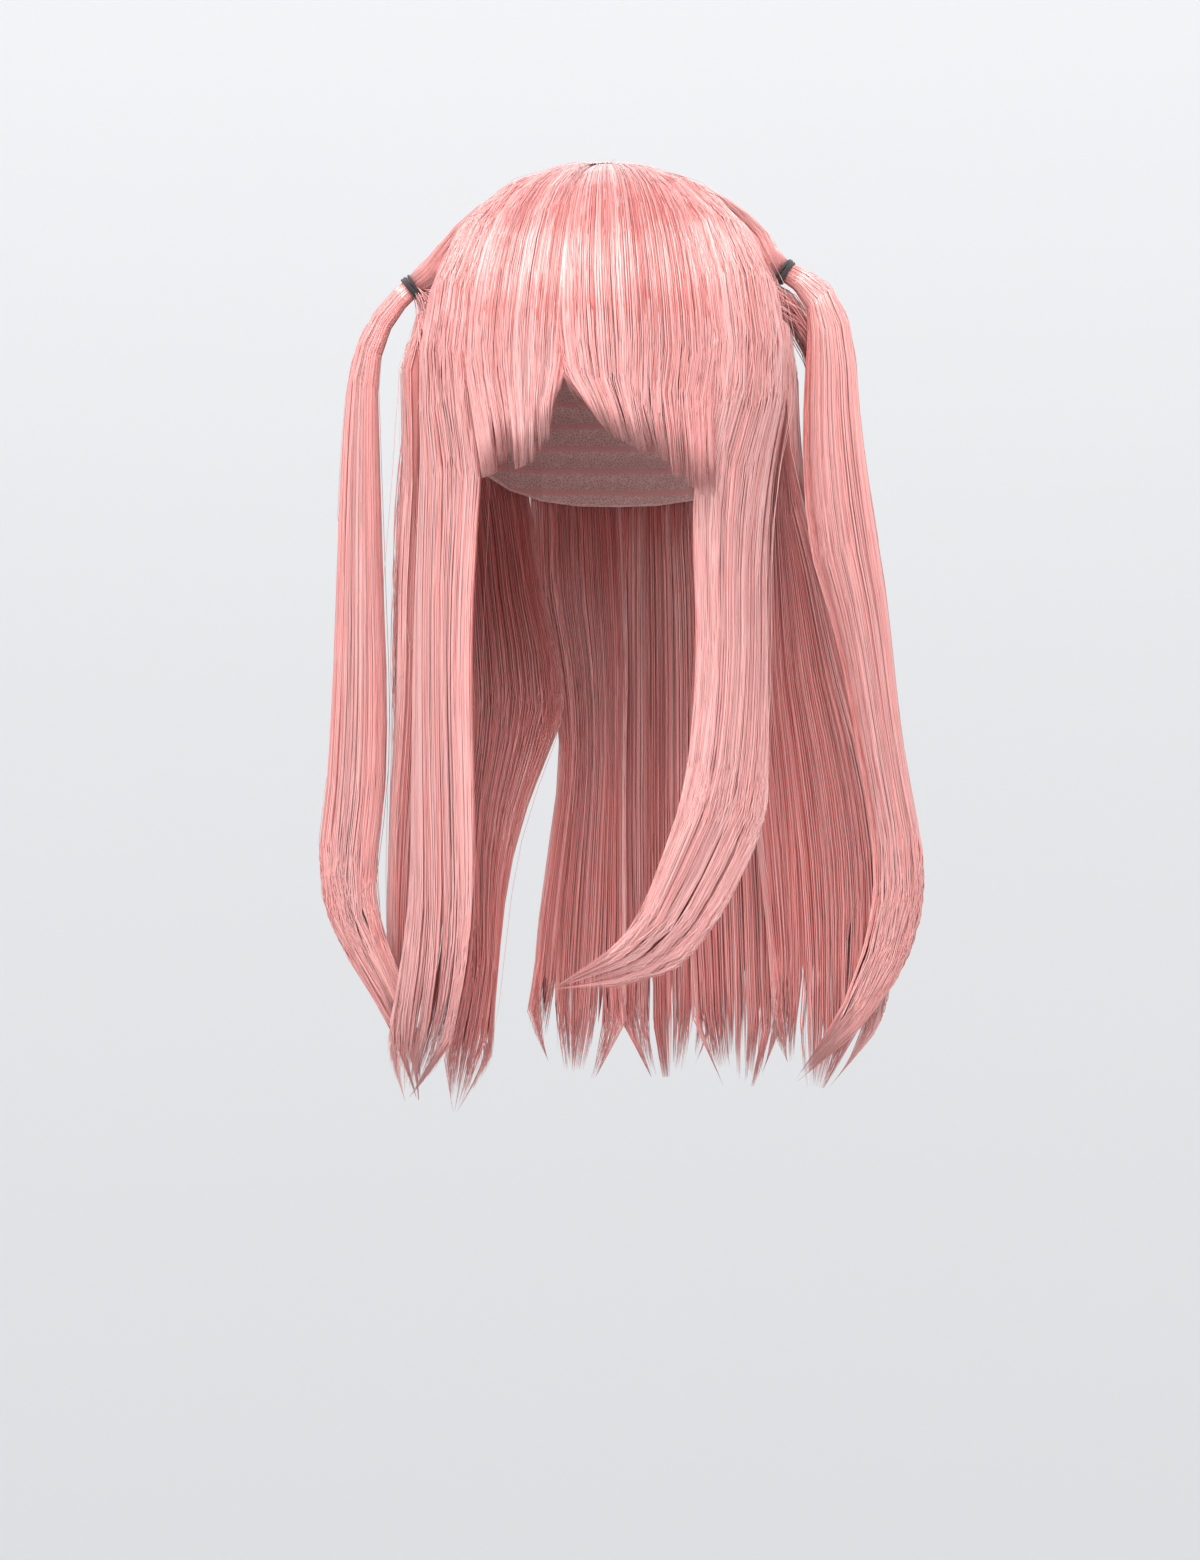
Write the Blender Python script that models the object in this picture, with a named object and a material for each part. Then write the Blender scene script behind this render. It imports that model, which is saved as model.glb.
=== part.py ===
"""A straight, pink synthetic wig as it sits on a head: a split fringe, long locks in front of the
ears, hair gathered from the crown into two tied side tails, and loose hair down the back.

Metres, +Z up, the face at -Y and the wearer's left at +X. The origin is the inside of the cap at the
crown, where the top of the head sits. Every lock is a loft. Its sections start on the cap, as arcs
over the head, and carry on as free sections that hang below it.
"""

import math

import bmesh
import bpy
import numpy as np

# The head that the cap fits, measured inside the cap
HEAD_WIDTH = 0.158
HEAD_DEPTH = 0.194
CROWN_HEIGHT = 0.100
NAPE_DEPTH = 0.140
HEAD_SQUARENESS = 2.4

# The cap
CAP_WALL = 0.002
CAP_FRONT_LATITUDE = 60.0
CAP_EAR_LATITUDE = 100.0
CAP_NAPE_LATITUDE = 122.0
CAP_SPOKES = 28
CAP_RINGS = 9

# The hair
CLEARANCE = 0.0003
HAIR_THICKNESS = 0.014
FRINGE_LENGTH = 0.060
SIDE_LENGTH = 0.362
EAR_LENGTH = 0.362
NAPE_LENGTH = 0.372
BACK_LENGTH = 0.362
TAIL_LENGTH = 0.415

# The ties: where the gathered hair is bound, and the elastic round it
TIE_STANDOFF = 0.018
TIE_BACK = 0.006
TIE_ABOVE_EARS = 0.054
TIE_SLOPE = 35.0
BUNDLE_RADIUS = 0.0050
BUNDLE_FLARE = 1.35
TIE_WALL = 0.0018
TIE_BAND = 0.0050
TIE_SIDES = 20

# How finely the locks are drawn
POINTS_ACROSS = 9
RING_SPACING = 0.034
HEAD_SPACING = 0.016
THINNEST = 0.0012
RIB_DEPTH = 0.16
SHARP_EDGE = 50.0

# Colour and roughness of each finish
FINISHES = {
    "fibre": ((0.84, 0.40, 0.41), 0.38),
    "net": ((0.62, 0.36, 0.33), 0.8),
    "elastic": ((0.03, 0.03, 0.032), 0.6),
}

HALF_WIDTH = HEAD_WIDTH / 2
HALF_DEPTH = HEAD_DEPTH / 2
CHORD_ROOM = 2 * CLEARANCE
SEAT = CAP_WALL + CLEARANCE + CHORD_ROOM
TIE_OUT = HALF_WIDTH + TIE_STANDOFF


def head_direction(azimuth, latitude):
    """The direction from the middle of the head: azimuth 0 at the face, 90 at the wearer's left ear, and
    latitude 0 at the crown."""
    azimuth, latitude = np.radians(azimuth), np.radians(latitude)
    flat = np.sin(latitude)
    return np.stack([flat * np.sin(azimuth), -flat * np.cos(azimuth), np.cos(latitude)], -1)


def on_head(direction, lift):
    """The point that far outside the cap's inner face in this direction."""
    height = np.where(direction[..., 2] > 0, CROWN_HEIGHT, NAPE_DEPTH)
    radii = np.stack([np.full(height.shape, HALF_WIDTH), np.full(height.shape, HALF_DEPTH), height], -1)
    reach = (np.abs(direction / radii) ** HEAD_SQUARENESS).sum(-1) ** (-1 / HEAD_SQUARENESS)
    middle = np.array([0.0, 0.0, -CROWN_HEIGHT])
    return middle + direction * (reach + lift)[..., None]


def arc_over_head(row, u):
    """A section on the cap: the middle line and the outward directions at each u from -1 to 1."""
    (azimuth_a, latitude_a), (azimuth_b, latitude_b), thickness, lift = row
    start = head_direction(azimuth_a, latitude_a)
    end = head_direction(azimuth_b, latitude_b)
    angle = math.acos(float(np.clip(start @ end, -1, 1)))
    share = ((u + 1) / 2)[:, None]
    direction = (np.sin((1 - share) * angle) * start + np.sin(share * angle) * end) / math.sin(angle)
    half = thickness * HAIR_THICKNESS / 2
    height = np.full(len(u), SEAT + half + lift * HAIR_THICKNESS)
    return on_head(direction, height), direction, np.full(len(u), half)


def free_section(centre, half_width, half_thickness, outward, across, bend, u):
    """A section that hangs free: an arc of half angle bend, convex towards outward."""
    bend = max(math.radians(bend), 1e-4)
    radius = half_width / bend
    sine, cosine = np.sin(u * bend)[:, None], np.cos(u * bend)[:, None]
    points = centre + across * radius * sine + outward * radius * (cosine - 1)
    return points, outward * cosine + across * sine, np.full(len(u), half_thickness)


def hanging_section(row, length, u):
    """A row of a hanging table as a section, at that share of length below the widest level."""
    drop, over, back, width, thickness, facing, bend, slant = (row[c] for c in HANG_COLUMNS)
    facing = math.radians(facing)
    outward = np.array([math.sin(facing), -math.cos(facing), 0.0])
    across = np.array([math.cos(facing), math.sin(facing), 0.0])
    centre = np.array([over * HALF_WIDTH, back * HALF_DEPTH, -CROWN_HEIGHT - drop * length])
    points, normals, halves = free_section(
        centre, width * HALF_WIDTH, thickness * HAIR_THICKNESS / 2, outward, across, bend, u
    )
    points[:, 2] += slant * length * u
    return points, normals, halves


def smooth_between(knots, values, at):
    """Values read along a smooth curve through one value for each knot."""
    slopes = np.empty_like(values)
    gaps = np.diff(knots).reshape((-1,) + (1,) * (values.ndim - 1))
    steps = np.diff(values, axis=0) / gaps
    slopes[0], slopes[-1] = steps[0], steps[-1]
    slopes[1:-1] = (steps[:-1] * gaps[1:] + steps[1:] * gaps[:-1]) / (gaps[:-1] + gaps[1:])
    index = np.clip(np.searchsorted(knots, at, side="right") - 1, 0, len(knots) - 2)
    span = (knots[index + 1] - knots[index]).reshape((-1,) + (1,) * (values.ndim - 1))
    t = ((at - knots[index]) / (knots[index + 1] - knots[index])).reshape(span.shape)
    return (
        (2 * t**3 - 3 * t**2 + 1) * values[index]
        + (t**3 - 2 * t**2 + t) * span * slopes[index]
        + (3 * t**2 - 2 * t**3) * values[index + 1]
        + (t**3 - t**2) * span * slopes[index + 1]
    )


def even_rows(rows, spacing):
    """The rows of a head table with more read between them, about that far apart on the cap."""
    table = np.array([[*row[0], *row[1], row[2], row[3]] for row in rows], float)
    steps = np.abs(np.diff(table[:, :4], axis=0)).max(-1)
    knots = np.concatenate([[0.0], np.cumsum(steps)])
    at = between_knots(knots, math.degrees(spacing / HALF_DEPTH))
    read = smooth_between(knots, table, at)
    return [((r[0], r[1]), (r[2], r[3]), r[4], r[5]) for r in read]


def between_knots(knots, spacing):
    """Every knot, and even steps of at most the spacing between one and the next."""
    at = [knots[0]]
    for start, end in zip(knots, knots[1:]):
        count = max(1, math.ceil((end - start) / spacing))
        at.extend(start + (end - start) * (k + 1) / count for k in range(count))
    return np.array(at)


def loft_rings(sections, ribs):
    """Closed rings along the loft, each once over the outer face and once back along the inner one."""
    u = -np.cos(np.linspace(0, math.pi, POINTS_ACROSS + 1))
    read = [section(u) for section in sections]
    points, normals, halves = (np.stack([r[k] for r in read]) for k in range(3))
    gaps = np.linalg.norm(np.diff(points, axis=0), axis=-1).mean(-1)
    knots = np.concatenate([[0.0], np.cumsum(gaps)])
    at = between_knots(knots, RING_SPACING)
    points = smooth_between(knots, points, at)
    normals = smooth_between(knots, normals, at)
    normals /= np.linalg.norm(normals, axis=-1, keepdims=True)
    halves = np.maximum(smooth_between(knots, halves[..., None], at), THINNEST / 2)
    groove = 1 - RIB_DEPTH * (0.5 + 0.5 * np.cos(math.pi * ribs * (u + 1)))
    rim = np.sqrt(np.clip(1 - u**2, 0, None))
    outer = points + normals * halves * (rim * groove)[:, None]
    inner = points - normals * halves * rim[:, None]
    return np.concatenate([outer, inner[:, -2:0:-1]], axis=1)


def make_material(name, finish):
    colour, roughness = FINISHES[finish]
    material = bpy.data.materials.new(f"{name}_{finish}")
    material.use_nodes = True
    shader = material.node_tree.nodes["Principled BSDF"]
    shader.inputs["Base Color"].default_value = (*colour, 1)
    shader.inputs["Roughness"].default_value = roughness
    shader.inputs["Metallic"].default_value = 0.0
    return material


def add_object(name, bm, finish):
    """The mesh as one object with its own material, and its faces pointing out."""
    bmesh.ops.recalc_face_normals(bm, faces=bm.faces)
    if bm.calc_volume(signed=True) < 0:
        bmesh.ops.reverse_faces(bm, faces=bm.faces)
    mesh = bpy.data.meshes.new(name)
    bm.to_mesh(mesh)
    bm.free()
    mesh.shade_smooth()
    mesh.set_sharp_from_angle(angle=math.radians(SHARP_EDGE))
    mesh.materials.append(make_material(name, finish))
    obj = bpy.data.objects.new(name, mesh)
    bpy.context.scene.collection.objects.link(obj)
    return obj


def add_loft(name, sections, ribs):
    """A closed solid through the sections, with a strip of faces across each end."""
    rings = loft_rings(sections, ribs)
    around = rings.shape[1]
    bm = bmesh.new()
    verts = [[bm.verts.new(p) for p in ring] for ring in rings]
    for here, after in zip(verts, verts[1:]):
        for k in range(around):
            nxt = (k + 1) % around
            bm.faces.new((here[k], here[nxt], after[nxt], after[k]))
    for ring in (verts[0], verts[-1]):
        bm.faces.new((ring[0], ring[1], ring[-1]))
        for k in range(1, POINTS_ACROSS - 1):
            bm.faces.new((ring[k], ring[k + 1], ring[around - k - 1], ring[around - k]))
        bm.faces.new((ring[POINTS_ACROSS - 1], ring[POINTS_ACROSS], ring[POINTS_ACROSS + 1]))
    return add_object(name, bm, "fibre")


def cap_edge_latitude(azimuth):
    """How far the cap reaches down: short at the forehead, past the ears, longest at the nape."""
    back = (1 - np.cos(np.radians(azimuth))) / 2
    ear = np.sin(np.radians(azimuth)) ** 2
    straight = CAP_FRONT_LATITUDE + (CAP_NAPE_LATITUDE - CAP_FRONT_LATITUDE) * back
    middle = (CAP_FRONT_LATITUDE + CAP_NAPE_LATITUDE) / 2
    return straight + (CAP_EAR_LATITUDE - middle) * ear


def add_cap():
    """A thin hollow shell over the skull, open towards the neck."""
    azimuth = np.arange(CAP_SPOKES) * 360 / CAP_SPOKES
    edge = cap_edge_latitude(azimuth)
    bm = bmesh.new()
    shells = []
    for lift in (CAP_WALL, 0.0):
        pole = bm.verts.new((0.0, 0.0, lift))
        rings = []
        for ring in range(1, CAP_RINGS + 1):
            direction = head_direction(azimuth, edge * ring / CAP_RINGS)
            points = on_head(direction, np.full(CAP_SPOKES, lift))
            rings.append([bm.verts.new(p) for p in points])
        shells.append((pole, rings))
    for pole, rings in shells:
        for k in range(CAP_SPOKES):
            nxt = (k + 1) % CAP_SPOKES
            bm.faces.new((pole, rings[0][k], rings[0][nxt]))
            for here, after in zip(rings, rings[1:]):
                bm.faces.new((here[k], after[k], after[nxt], here[nxt]))
    outer_rim, inner_rim = shells[0][1][-1], shells[1][1][-1]
    for k in range(CAP_SPOKES):
        nxt = (k + 1) % CAP_SPOKES
        bm.faces.new((outer_rim[k], inner_rim[k], inner_rim[nxt], outer_rim[nxt]))
    return add_object("wig_cap", bm, "net")


def tie_centre(side, sign):
    out, up = TIE_PLACES[side]
    return np.array([sign * out * TIE_OUT, TIE_BACK, up * TIE_ABOVE_EARS - CROWN_HEIGHT])


def tie_axis(sign):
    """The way that the hair leaves the tie: outwards and down."""
    slope = math.radians(TIE_SLOPE)
    return np.array([sign * math.cos(slope), 0.0, -math.sin(slope)])


def tie_section(side, sign, along, radius):
    """A round section of the hair above the tie, that far along its axis."""
    axis = tie_axis(sign)
    across = np.array([0.0, sign, 0.0])
    outward = np.array([-axis[2] * sign, 0.0, abs(axis[0])])
    centre = tie_centre(side, sign) + axis * along
    return lambda u: free_section(centre, radius, radius, outward, across, 0.0, u)


# Sections of each lock on the cap, from the crown down. Each row holds the two ends of an arc as azimuth
# and latitude in degrees, and the lock's thickness and lift off the cap as shares of HAIR_THICKNESS. The
# rows without a side are the left lock's, which the right one mirrors.
HEAD_ROWS = {
    "fringe_right": [
        ((-35.5, 5), (-10, 5), 0.60, 0.0),
        ((-37, 20), (-8.5, 20), 0.62, 0.0),
        ((-37, 45), (-8.5, 45), 0.72, 0.0),
        ((-37, 68), (-8.5, 68), 0.75, 0.0),
        ((-37, 88), (-9.2, 88), 0.72, 0.1),
    ],
    "fringe_left": [
        ((-5.5, 5), (32.5, 5), 0.60, 0.0),
        ((-7.5, 20), (34, 20), 0.62, 0.0),
        ((-7.5, 45), (34, 45), 0.72, 0.0),
        ((-7.5, 68), (34, 68), 0.75, 0.0),
        ((-6.5, 86), (34.3, 88), 0.72, 0.1),
    ],
    "side_lock_right": [
        ((-86, 5), (-40, 5), 0.60, 0.0),
        ((-88, 20), (-38, 20), 0.62, 0.0),
        ((-88, 45), (-38, 45), 0.82, 0.0),
        ((-88, 68), (-38, 68), 0.95, 0.0),
        ((-88, 88), (-38, 88), 0.95, 0.06),
    ],
    "side_lock_left": [
        ((37, 5), (86, 5), 0.60, 0.0),
        ((35, 20), (88, 20), 0.62, 0.0),
        ((35, 45), (88, 45), 0.82, 0.0),
        ((35, 68), (88, 68), 0.95, 0.0),
        ((35.3, 88), (88, 88), 0.95, 0.06),
    ],
    "ear_lock_right": [
        ((-117, 71), (-91, 62.5), 0.50, -0.03),
        ((-118, 77), (-91, 69), 1.05, 0.45),
        ((-118, 86), (-91, 80), 1.20, 0.70),
        ((-118, 96), (-91, 94), 1.20, 0.75),
    ],
    "ear_lock_left": [
        ((91, 62.5), (117, 71), 0.50, -0.03),
        ((91, 69), (118, 77), 0.85, 0.15),
        ((91, 80), (118, 86), 0.95, 0.30),
        ((91, 94), (118, 96), 0.95, 0.36),
    ],
    "nape_lock": [
        ((119, 71.5), (148, 80), 0.45, -0.04),
        ((119, 82), (148, 87), 0.75, 0.05),
        ((119, 97), (148, 97), 0.80, 0.25),
    ],
    "back_lock": [
        ((149, 80.5), (179.4, 84.5), 0.45, -0.04),
        ((149, 98), (179.4, 98), 0.80, 0.25),
    ],
    "gather": [
        ((172, 5), (179.4, 82), 0.62, 0.05),
        ((118, 9), (158, 80), 0.68, 0.05),
        ((94, 20), (136, 75), 0.80, 0.05),
        ((91, 34), (118, 68), 1.00, 0.15),
        ((91, 46), (106, 61), 1.10, 0.40),
    ],
}

# Sections that hang free, from the ears' level down. Drop and slant are shares of that lock's length,
# over and width (half the section's) of half the head's width, back of half its depth, and thickness of
# HAIR_THICKNESS. Facing and bend are degrees.
HANG_COLUMNS = ("drop", "over", "back", "width", "thickness", "facing", "bend", "slant")
HANG_ROWS = {
    "fringe_right": [
        (0.42, -0.49, -1.03, 0.30, 0.52, -24, 14, 0.02),
        (0.68, -0.48, -1.02, 0.29, 0.36, -24, 14, 0.04),
        (0.79, -0.48, -1.02, 0.27, 0.20, -24, 14, 0.05),
    ],
    "fringe_left": [
        (0.30, 0.31, -1.06, 0.45, 0.52, 15, 20, -0.10),
        (0.62, 0.37, -1.03, 0.43, 0.36, 18, 20, -0.24),
        (0.74, 0.38, -1.02, 0.42, 0.20, 19, 20, -0.28),
    ],
    "side_lock_right": [
        (0.14, -1.02, -0.50, 0.45, 0.90, -62, 22, 0.0),
        (0.27, -1.04, -0.48, 0.41, 0.90, -60, 18, 0.0),
        (0.41, -1.05, -0.46, 0.39, 0.90, -58, 14, 0.0),
        (0.60, -1.05, -0.43, 0.39, 0.88, -55, 12, 0.0),
        (0.74, -1.05, -0.42, 0.38, 0.85, -52, 10, 0.0),
        (0.83, -1.09, -0.40, 0.37, 0.80, -48, 8, 0.0),
        (0.90, -1.15, -0.37, 0.33, 0.68, -44, 6, 0.0),
        (0.955, -1.20, -0.35, 0.25, 0.50, -40, 4, 0.0),
        (1.0, -1.25, -0.34, 0.09, 0.25, -40, 2, 0.0),
    ],
    "side_lock_left": [
        (0.14, 0.93, -0.52, 0.46, 0.90, 62, 24, 0.0),
        (0.25, 0.88, -0.50, 0.41, 0.90, 60, 18, 0.0),
        (0.37, 0.88, -0.50, 0.38, 0.90, 58, 14, 0.0),
        (0.45, 0.87, -0.52, 0.37, 0.90, 55, 12, 0.0),
        (0.54, 0.85, -0.56, 0.35, 0.85, 48, 10, -0.006),
        (0.60, 0.82, -0.60, 0.325, 0.80, 40, 8, -0.015),
        (0.67, 0.70, -0.67, 0.27, 0.75, 30, 6, -0.021),
        (0.735, 0.56, -0.75, 0.215, 0.70, 22, 4, -0.026),
        (0.79, 0.40, -0.83, 0.14, 0.60, 16, 4, -0.028),
        (0.82, 0.18, -0.91, 0.055, 0.45, 12, 2, -0.022),
        (0.84, -0.12, -1.00, 0.015, 0.20, 10, 2, -0.007),
    ],
    "ear_lock_right": [
        (0.14, -1.28, 0.22, 0.28, 1.05, -95, 10, 0.0),
        (0.27, -1.30, 0.21, 0.28, 1.05, -96, 8, 0.0),
        (0.45, -1.31, 0.20, 0.28, 1.05, -96, 6, 0.0),
        (0.62, -1.35, 0.22, 0.26, 1.05, -98, 4, 0.0),
        (0.75, -1.39, 0.25, 0.22, 1.0, -98, 4, 0.0),
        (0.85, -1.40, 0.27, 0.18, 0.85, -98, 4, 0.0),
        (0.93, -1.36, 0.28, 0.13, 0.6, -98, 2, 0.0),
        (0.975, -1.32, 0.28, 0.05, 0.25, -98, 2, 0.0),
    ],
    "ear_lock_left": [
        (0.14, 1.19, 0.33, 0.29, 0.90, 108, 12, 0.0),
        (0.28, 1.23, 0.42, 0.33, 0.85, 130, 8, 0.0),
        (0.41, 1.27, 0.48, 0.37, 0.80, 144, 6, 0.0),
        (0.55, 1.36, 0.50, 0.41, 0.75, 155, 4, 0.0),
        (0.69, 1.43, 0.51, 0.42, 0.70, 160, 4, 0.0),
        (0.83, 1.45, 0.50, 0.38, 0.65, 162, 4, 0.0),
        (0.94, 1.42, 0.48, 0.28, 0.50, 160, 2, 0.0),
        (1.0, 1.38, 0.46, 0.13, 0.28, 160, 2, 0.0),
    ],
    "nape_lock_right": [
        (0.14, -0.87, 0.78, 0.31, 0.80, -134, 14, 0.0),
        (0.27, -0.80, 0.70, 0.33, 0.85, -137, 10, 0.0),
        (0.38, -0.71, 0.62, 0.38, 0.85, -140, 8, 0.0),
        (0.46, -0.68, 0.55, 0.38, 0.85, -140, 6, 0.0),
        (0.54, -0.75, 0.45, 0.31, 0.85, -140, 4, 0.0),
        (0.62, -0.82, 0.35, 0.25, 0.85, -138, 4, 0.0),
        (0.73, -0.85, 0.24, 0.18, 0.85, -134, 4, 0.0),
        (0.81, -0.85, 0.16, 0.15, 0.85, -130, 4, 0.0),
        (0.89, -0.89, 0.10, 0.17, 0.80, -130, 4, 0.0),
        (0.955, -0.93, 0.06, 0.16, 0.60, -130, 4, 0.0),
        (1.0, -0.98, 0.04, 0.06, 0.25, -130, 2, 0.0),
    ],
    "nape_lock_left": [
        (0.14, 0.88, 0.79, 0.29, 0.80, 134, 14, 0.0),
        (0.27, 0.85, 0.81, 0.29, 0.80, 144, 10, 0.0),
        (0.45, 0.80, 0.84, 0.28, 0.80, 154, 6, 0.0),
        (0.62, 0.80, 0.84, 0.29, 0.80, 158, 4, 0.0),
        (0.78, 0.82, 0.83, 0.30, 0.75, 160, 4, 0.0),
        (0.90, 0.84, 0.82, 0.26, 0.60, 160, 4, 0.0),
        (0.98, 0.85, 0.81, 0.13, 0.30, 160, 2, 0.0),
    ],
    "back_lock_right": [
        (0.14, -0.30, 1.07, 0.29, 0.80, -167, 10, 0.0),
        (0.27, -0.27, 1.01, 0.29, 0.80, -170, 8, 0.0),
        (0.42, -0.19, 0.95, 0.23, 0.80, -174, 6, 0.0),
        (0.53, -0.17, 0.93, 0.205, 0.80, -176, 4, 0.0),
        (0.68, -0.21, 0.92, 0.24, 0.80, -176, 4, 0.0),
        (0.82, -0.25, 0.91, 0.28, 0.75, -176, 4, 0.0),
        (0.93, -0.27, 0.90, 0.26, 0.58, -176, 4, 0.0),
        (1.0, -0.28, 0.89, 0.14, 0.30, -176, 2, 0.0),
    ],
    "back_lock_left": [
        (0.14, 0.31, 1.07, 0.29, 0.80, 167, 10, 0.0),
        (0.27, 0.32, 1.05, 0.31, 0.80, 168, 8, 0.0),
        (0.45, 0.33, 1.03, 0.32, 0.80, 170, 6, 0.0),
        (0.65, 0.33, 1.02, 0.32, 0.80, 170, 4, 0.0),
        (0.82, 0.34, 1.00, 0.31, 0.75, 170, 4, 0.0),
        (0.93, 0.35, 0.98, 0.26, 0.55, 170, 4, 0.0),
        (1.0, 0.36, 0.97, 0.14, 0.30, 170, 2, 0.0),
    ],
}

# Where each tie is: out is a share of TIE_OUT, and up of TIE_ABOVE_EARS
TIE_PLACES = {"right": (1.05, 0.945), "left": (0.955, 1.07)}

# Sections of the tails below the ties. Drop is a share of TAIL_LENGTH, out of the tie's own distance from
# the middle, back of half the head's depth, and width and thickness (half the section's) of
# BUNDLE_RADIUS. Lean is the slope of the section in degrees.
TAIL_COLUMNS = ("drop", "out", "back", "width", "thickness", "lean")
TAIL_ROWS = {
    "right": [
        (0.020, 1.086, 0.07, 1.10, 1.20, 55),
        (0.055, 1.186, 0.06, 1.25, 1.50, 40),
        (0.105, 1.243, 0.05, 1.50, 1.80, 20),
        (0.165, 1.257, 0.04, 1.75, 2.05, 8),
        (0.27, 1.262, 0.02, 2.10, 2.25, 2),
        (0.40, 1.262, 0.00, 2.45, 2.45, 0),
        (0.53, 1.267, 0.00, 2.85, 2.45, 2),
        (0.65, 1.290, -0.01, 3.00, 2.40, 3),
        (0.725, 1.324, -0.02, 2.95, 2.30, 0),
        (0.775, 1.310, -0.03, 2.60, 2.15, -12),
        (0.825, 1.238, -0.04, 2.20, 1.85, -28),
        (0.875, 1.124, -0.04, 1.80, 1.55, -28),
        (0.95, 1.000, -0.04, 1.10, 1.00, -18),
        (1.0, 0.971, -0.04, 0.40, 0.35, -8),
    ],
    "left": [
        (0.020, 1.152, 0.05, 1.40, 1.30, 50),
        (0.060, 1.236, 0.02, 1.95, 1.80, 28),
        (0.105, 1.267, 0.00, 2.25, 2.05, 10),
        (0.155, 1.272, -0.02, 2.45, 2.15, 5),
        (0.275, 1.309, -0.03, 2.95, 2.20, 4),
        (0.350, 1.356, 0.00, 3.05, 2.20, 9),
        (0.400, 1.408, 0.04, 2.80, 2.20, 10),
        (0.500, 1.487, 0.11, 2.30, 2.25, 9),
        (0.590, 1.545, 0.16, 2.10, 2.25, 9),
        (0.660, 1.602, 0.19, 2.10, 2.20, 10),
        (0.735, 1.654, 0.21, 2.25, 2.10, 2),
        (0.785, 1.654, 0.22, 2.30, 2.00, -8),
        (0.840, 1.602, 0.23, 2.15, 1.80, -22),
        (0.890, 1.508, 0.23, 1.80, 1.45, -32),
        (0.945, 1.361, 0.23, 1.10, 0.95, -35),
        (1.0, 1.131, 0.23, 0.35, 0.35, -45),
    ],
}

# How many ridges run down the outer face of each
RIBS = {"fringe": 3, "side_lock": 3, "ear_lock": 2, "nape_lock": 2, "back_lock": 2, "gather": 3, "tail": 2}
LENGTHS = {
    "fringe": FRINGE_LENGTH,
    "side_lock": SIDE_LENGTH,
    "ear_lock": EAR_LENGTH,
    "nape_lock": NAPE_LENGTH,
    "back_lock": BACK_LENGTH,
}


def mirrored(row):
    """A head row for the other side, with its ends swapped so that u still runs towards the left."""
    (azimuth_a, latitude_a), (azimuth_b, latitude_b), thickness, lift = row
    return (-azimuth_b, latitude_b), (-azimuth_a, latitude_a), thickness, lift


def head_sections(kind, side):
    """The sections on the cap, from the side's own rows or from the left lock's, mirrored."""
    rows = HEAD_ROWS.get(f"{kind}_{side}") or HEAD_ROWS[kind]
    if kind in HEAD_ROWS and side == "right":
        rows = [mirrored(row) for row in rows]
    return [lambda u, row=row: arc_over_head(row, u) for row in even_rows(rows, HEAD_SPACING)]


def add_lock(kind, side):
    """A fringe, side, ear, nape or back lock: from the cap down to its hanging end."""
    name = f"{kind}_{side}"
    table = [dict(zip(HANG_COLUMNS, row)) for row in HANG_ROWS[name]]
    hanging = [lambda u, row=row: hanging_section(row, LENGTHS[kind], u) for row in table]
    return add_loft(name, head_sections(kind, side) + hanging, RIBS[kind])


def add_gather(side, sign):
    """The hair combed over the crown and the back of the head into the tie."""
    mouth = -TIE_BAND / 2 - CLEARANCE
    ends = [
        tie_section(side, sign, mouth - TIE_BAND, BUNDLE_RADIUS * BUNDLE_FLARE),
        tie_section(side, sign, mouth, BUNDLE_RADIUS),
        tie_section(side, sign, -CLEARANCE / 2, BUNDLE_RADIUS),
    ]
    return add_loft(f"gather_{side}", head_sections("gather", side) + ends, RIBS["gather"])


def tail_section(centre, width, thickness, lean, sign):
    """A section of a tail, whose plane slopes down towards the head by lean degrees."""
    lean = math.radians(lean)
    across = np.array([math.cos(lean), 0.0, sign * math.sin(lean)])
    outward = np.array([0.0, -1.0, 0.0])
    return lambda u: free_section(centre, width, thickness, outward, across, 0.0, u)


def add_tail(side, sign):
    """The hair that hangs from a tie, from the middle of the tie to its tip."""
    tie = tie_centre(side, sign)
    sections = []
    for along in (CLEARANCE / 2, TIE_BAND / 2 + CLEARANCE):
        centre = tie + tie_axis(sign) * along
        sections.append(tail_section(centre, BUNDLE_RADIUS, BUNDLE_RADIUS, 90 - TIE_SLOPE, sign))
    for values in TAIL_ROWS[side]:
        row = dict(zip(TAIL_COLUMNS, values))
        centre = np.array([row["out"] * tie[0], row["back"] * HALF_DEPTH, tie[2] - row["drop"] * TAIL_LENGTH])
        width, thickness = row["width"] * BUNDLE_RADIUS, row["thickness"] * BUNDLE_RADIUS
        sections.append(tail_section(centre, width, thickness, row["lean"], sign))
    return add_loft(f"tail_{side}", sections, RIBS["tail"])


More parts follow.
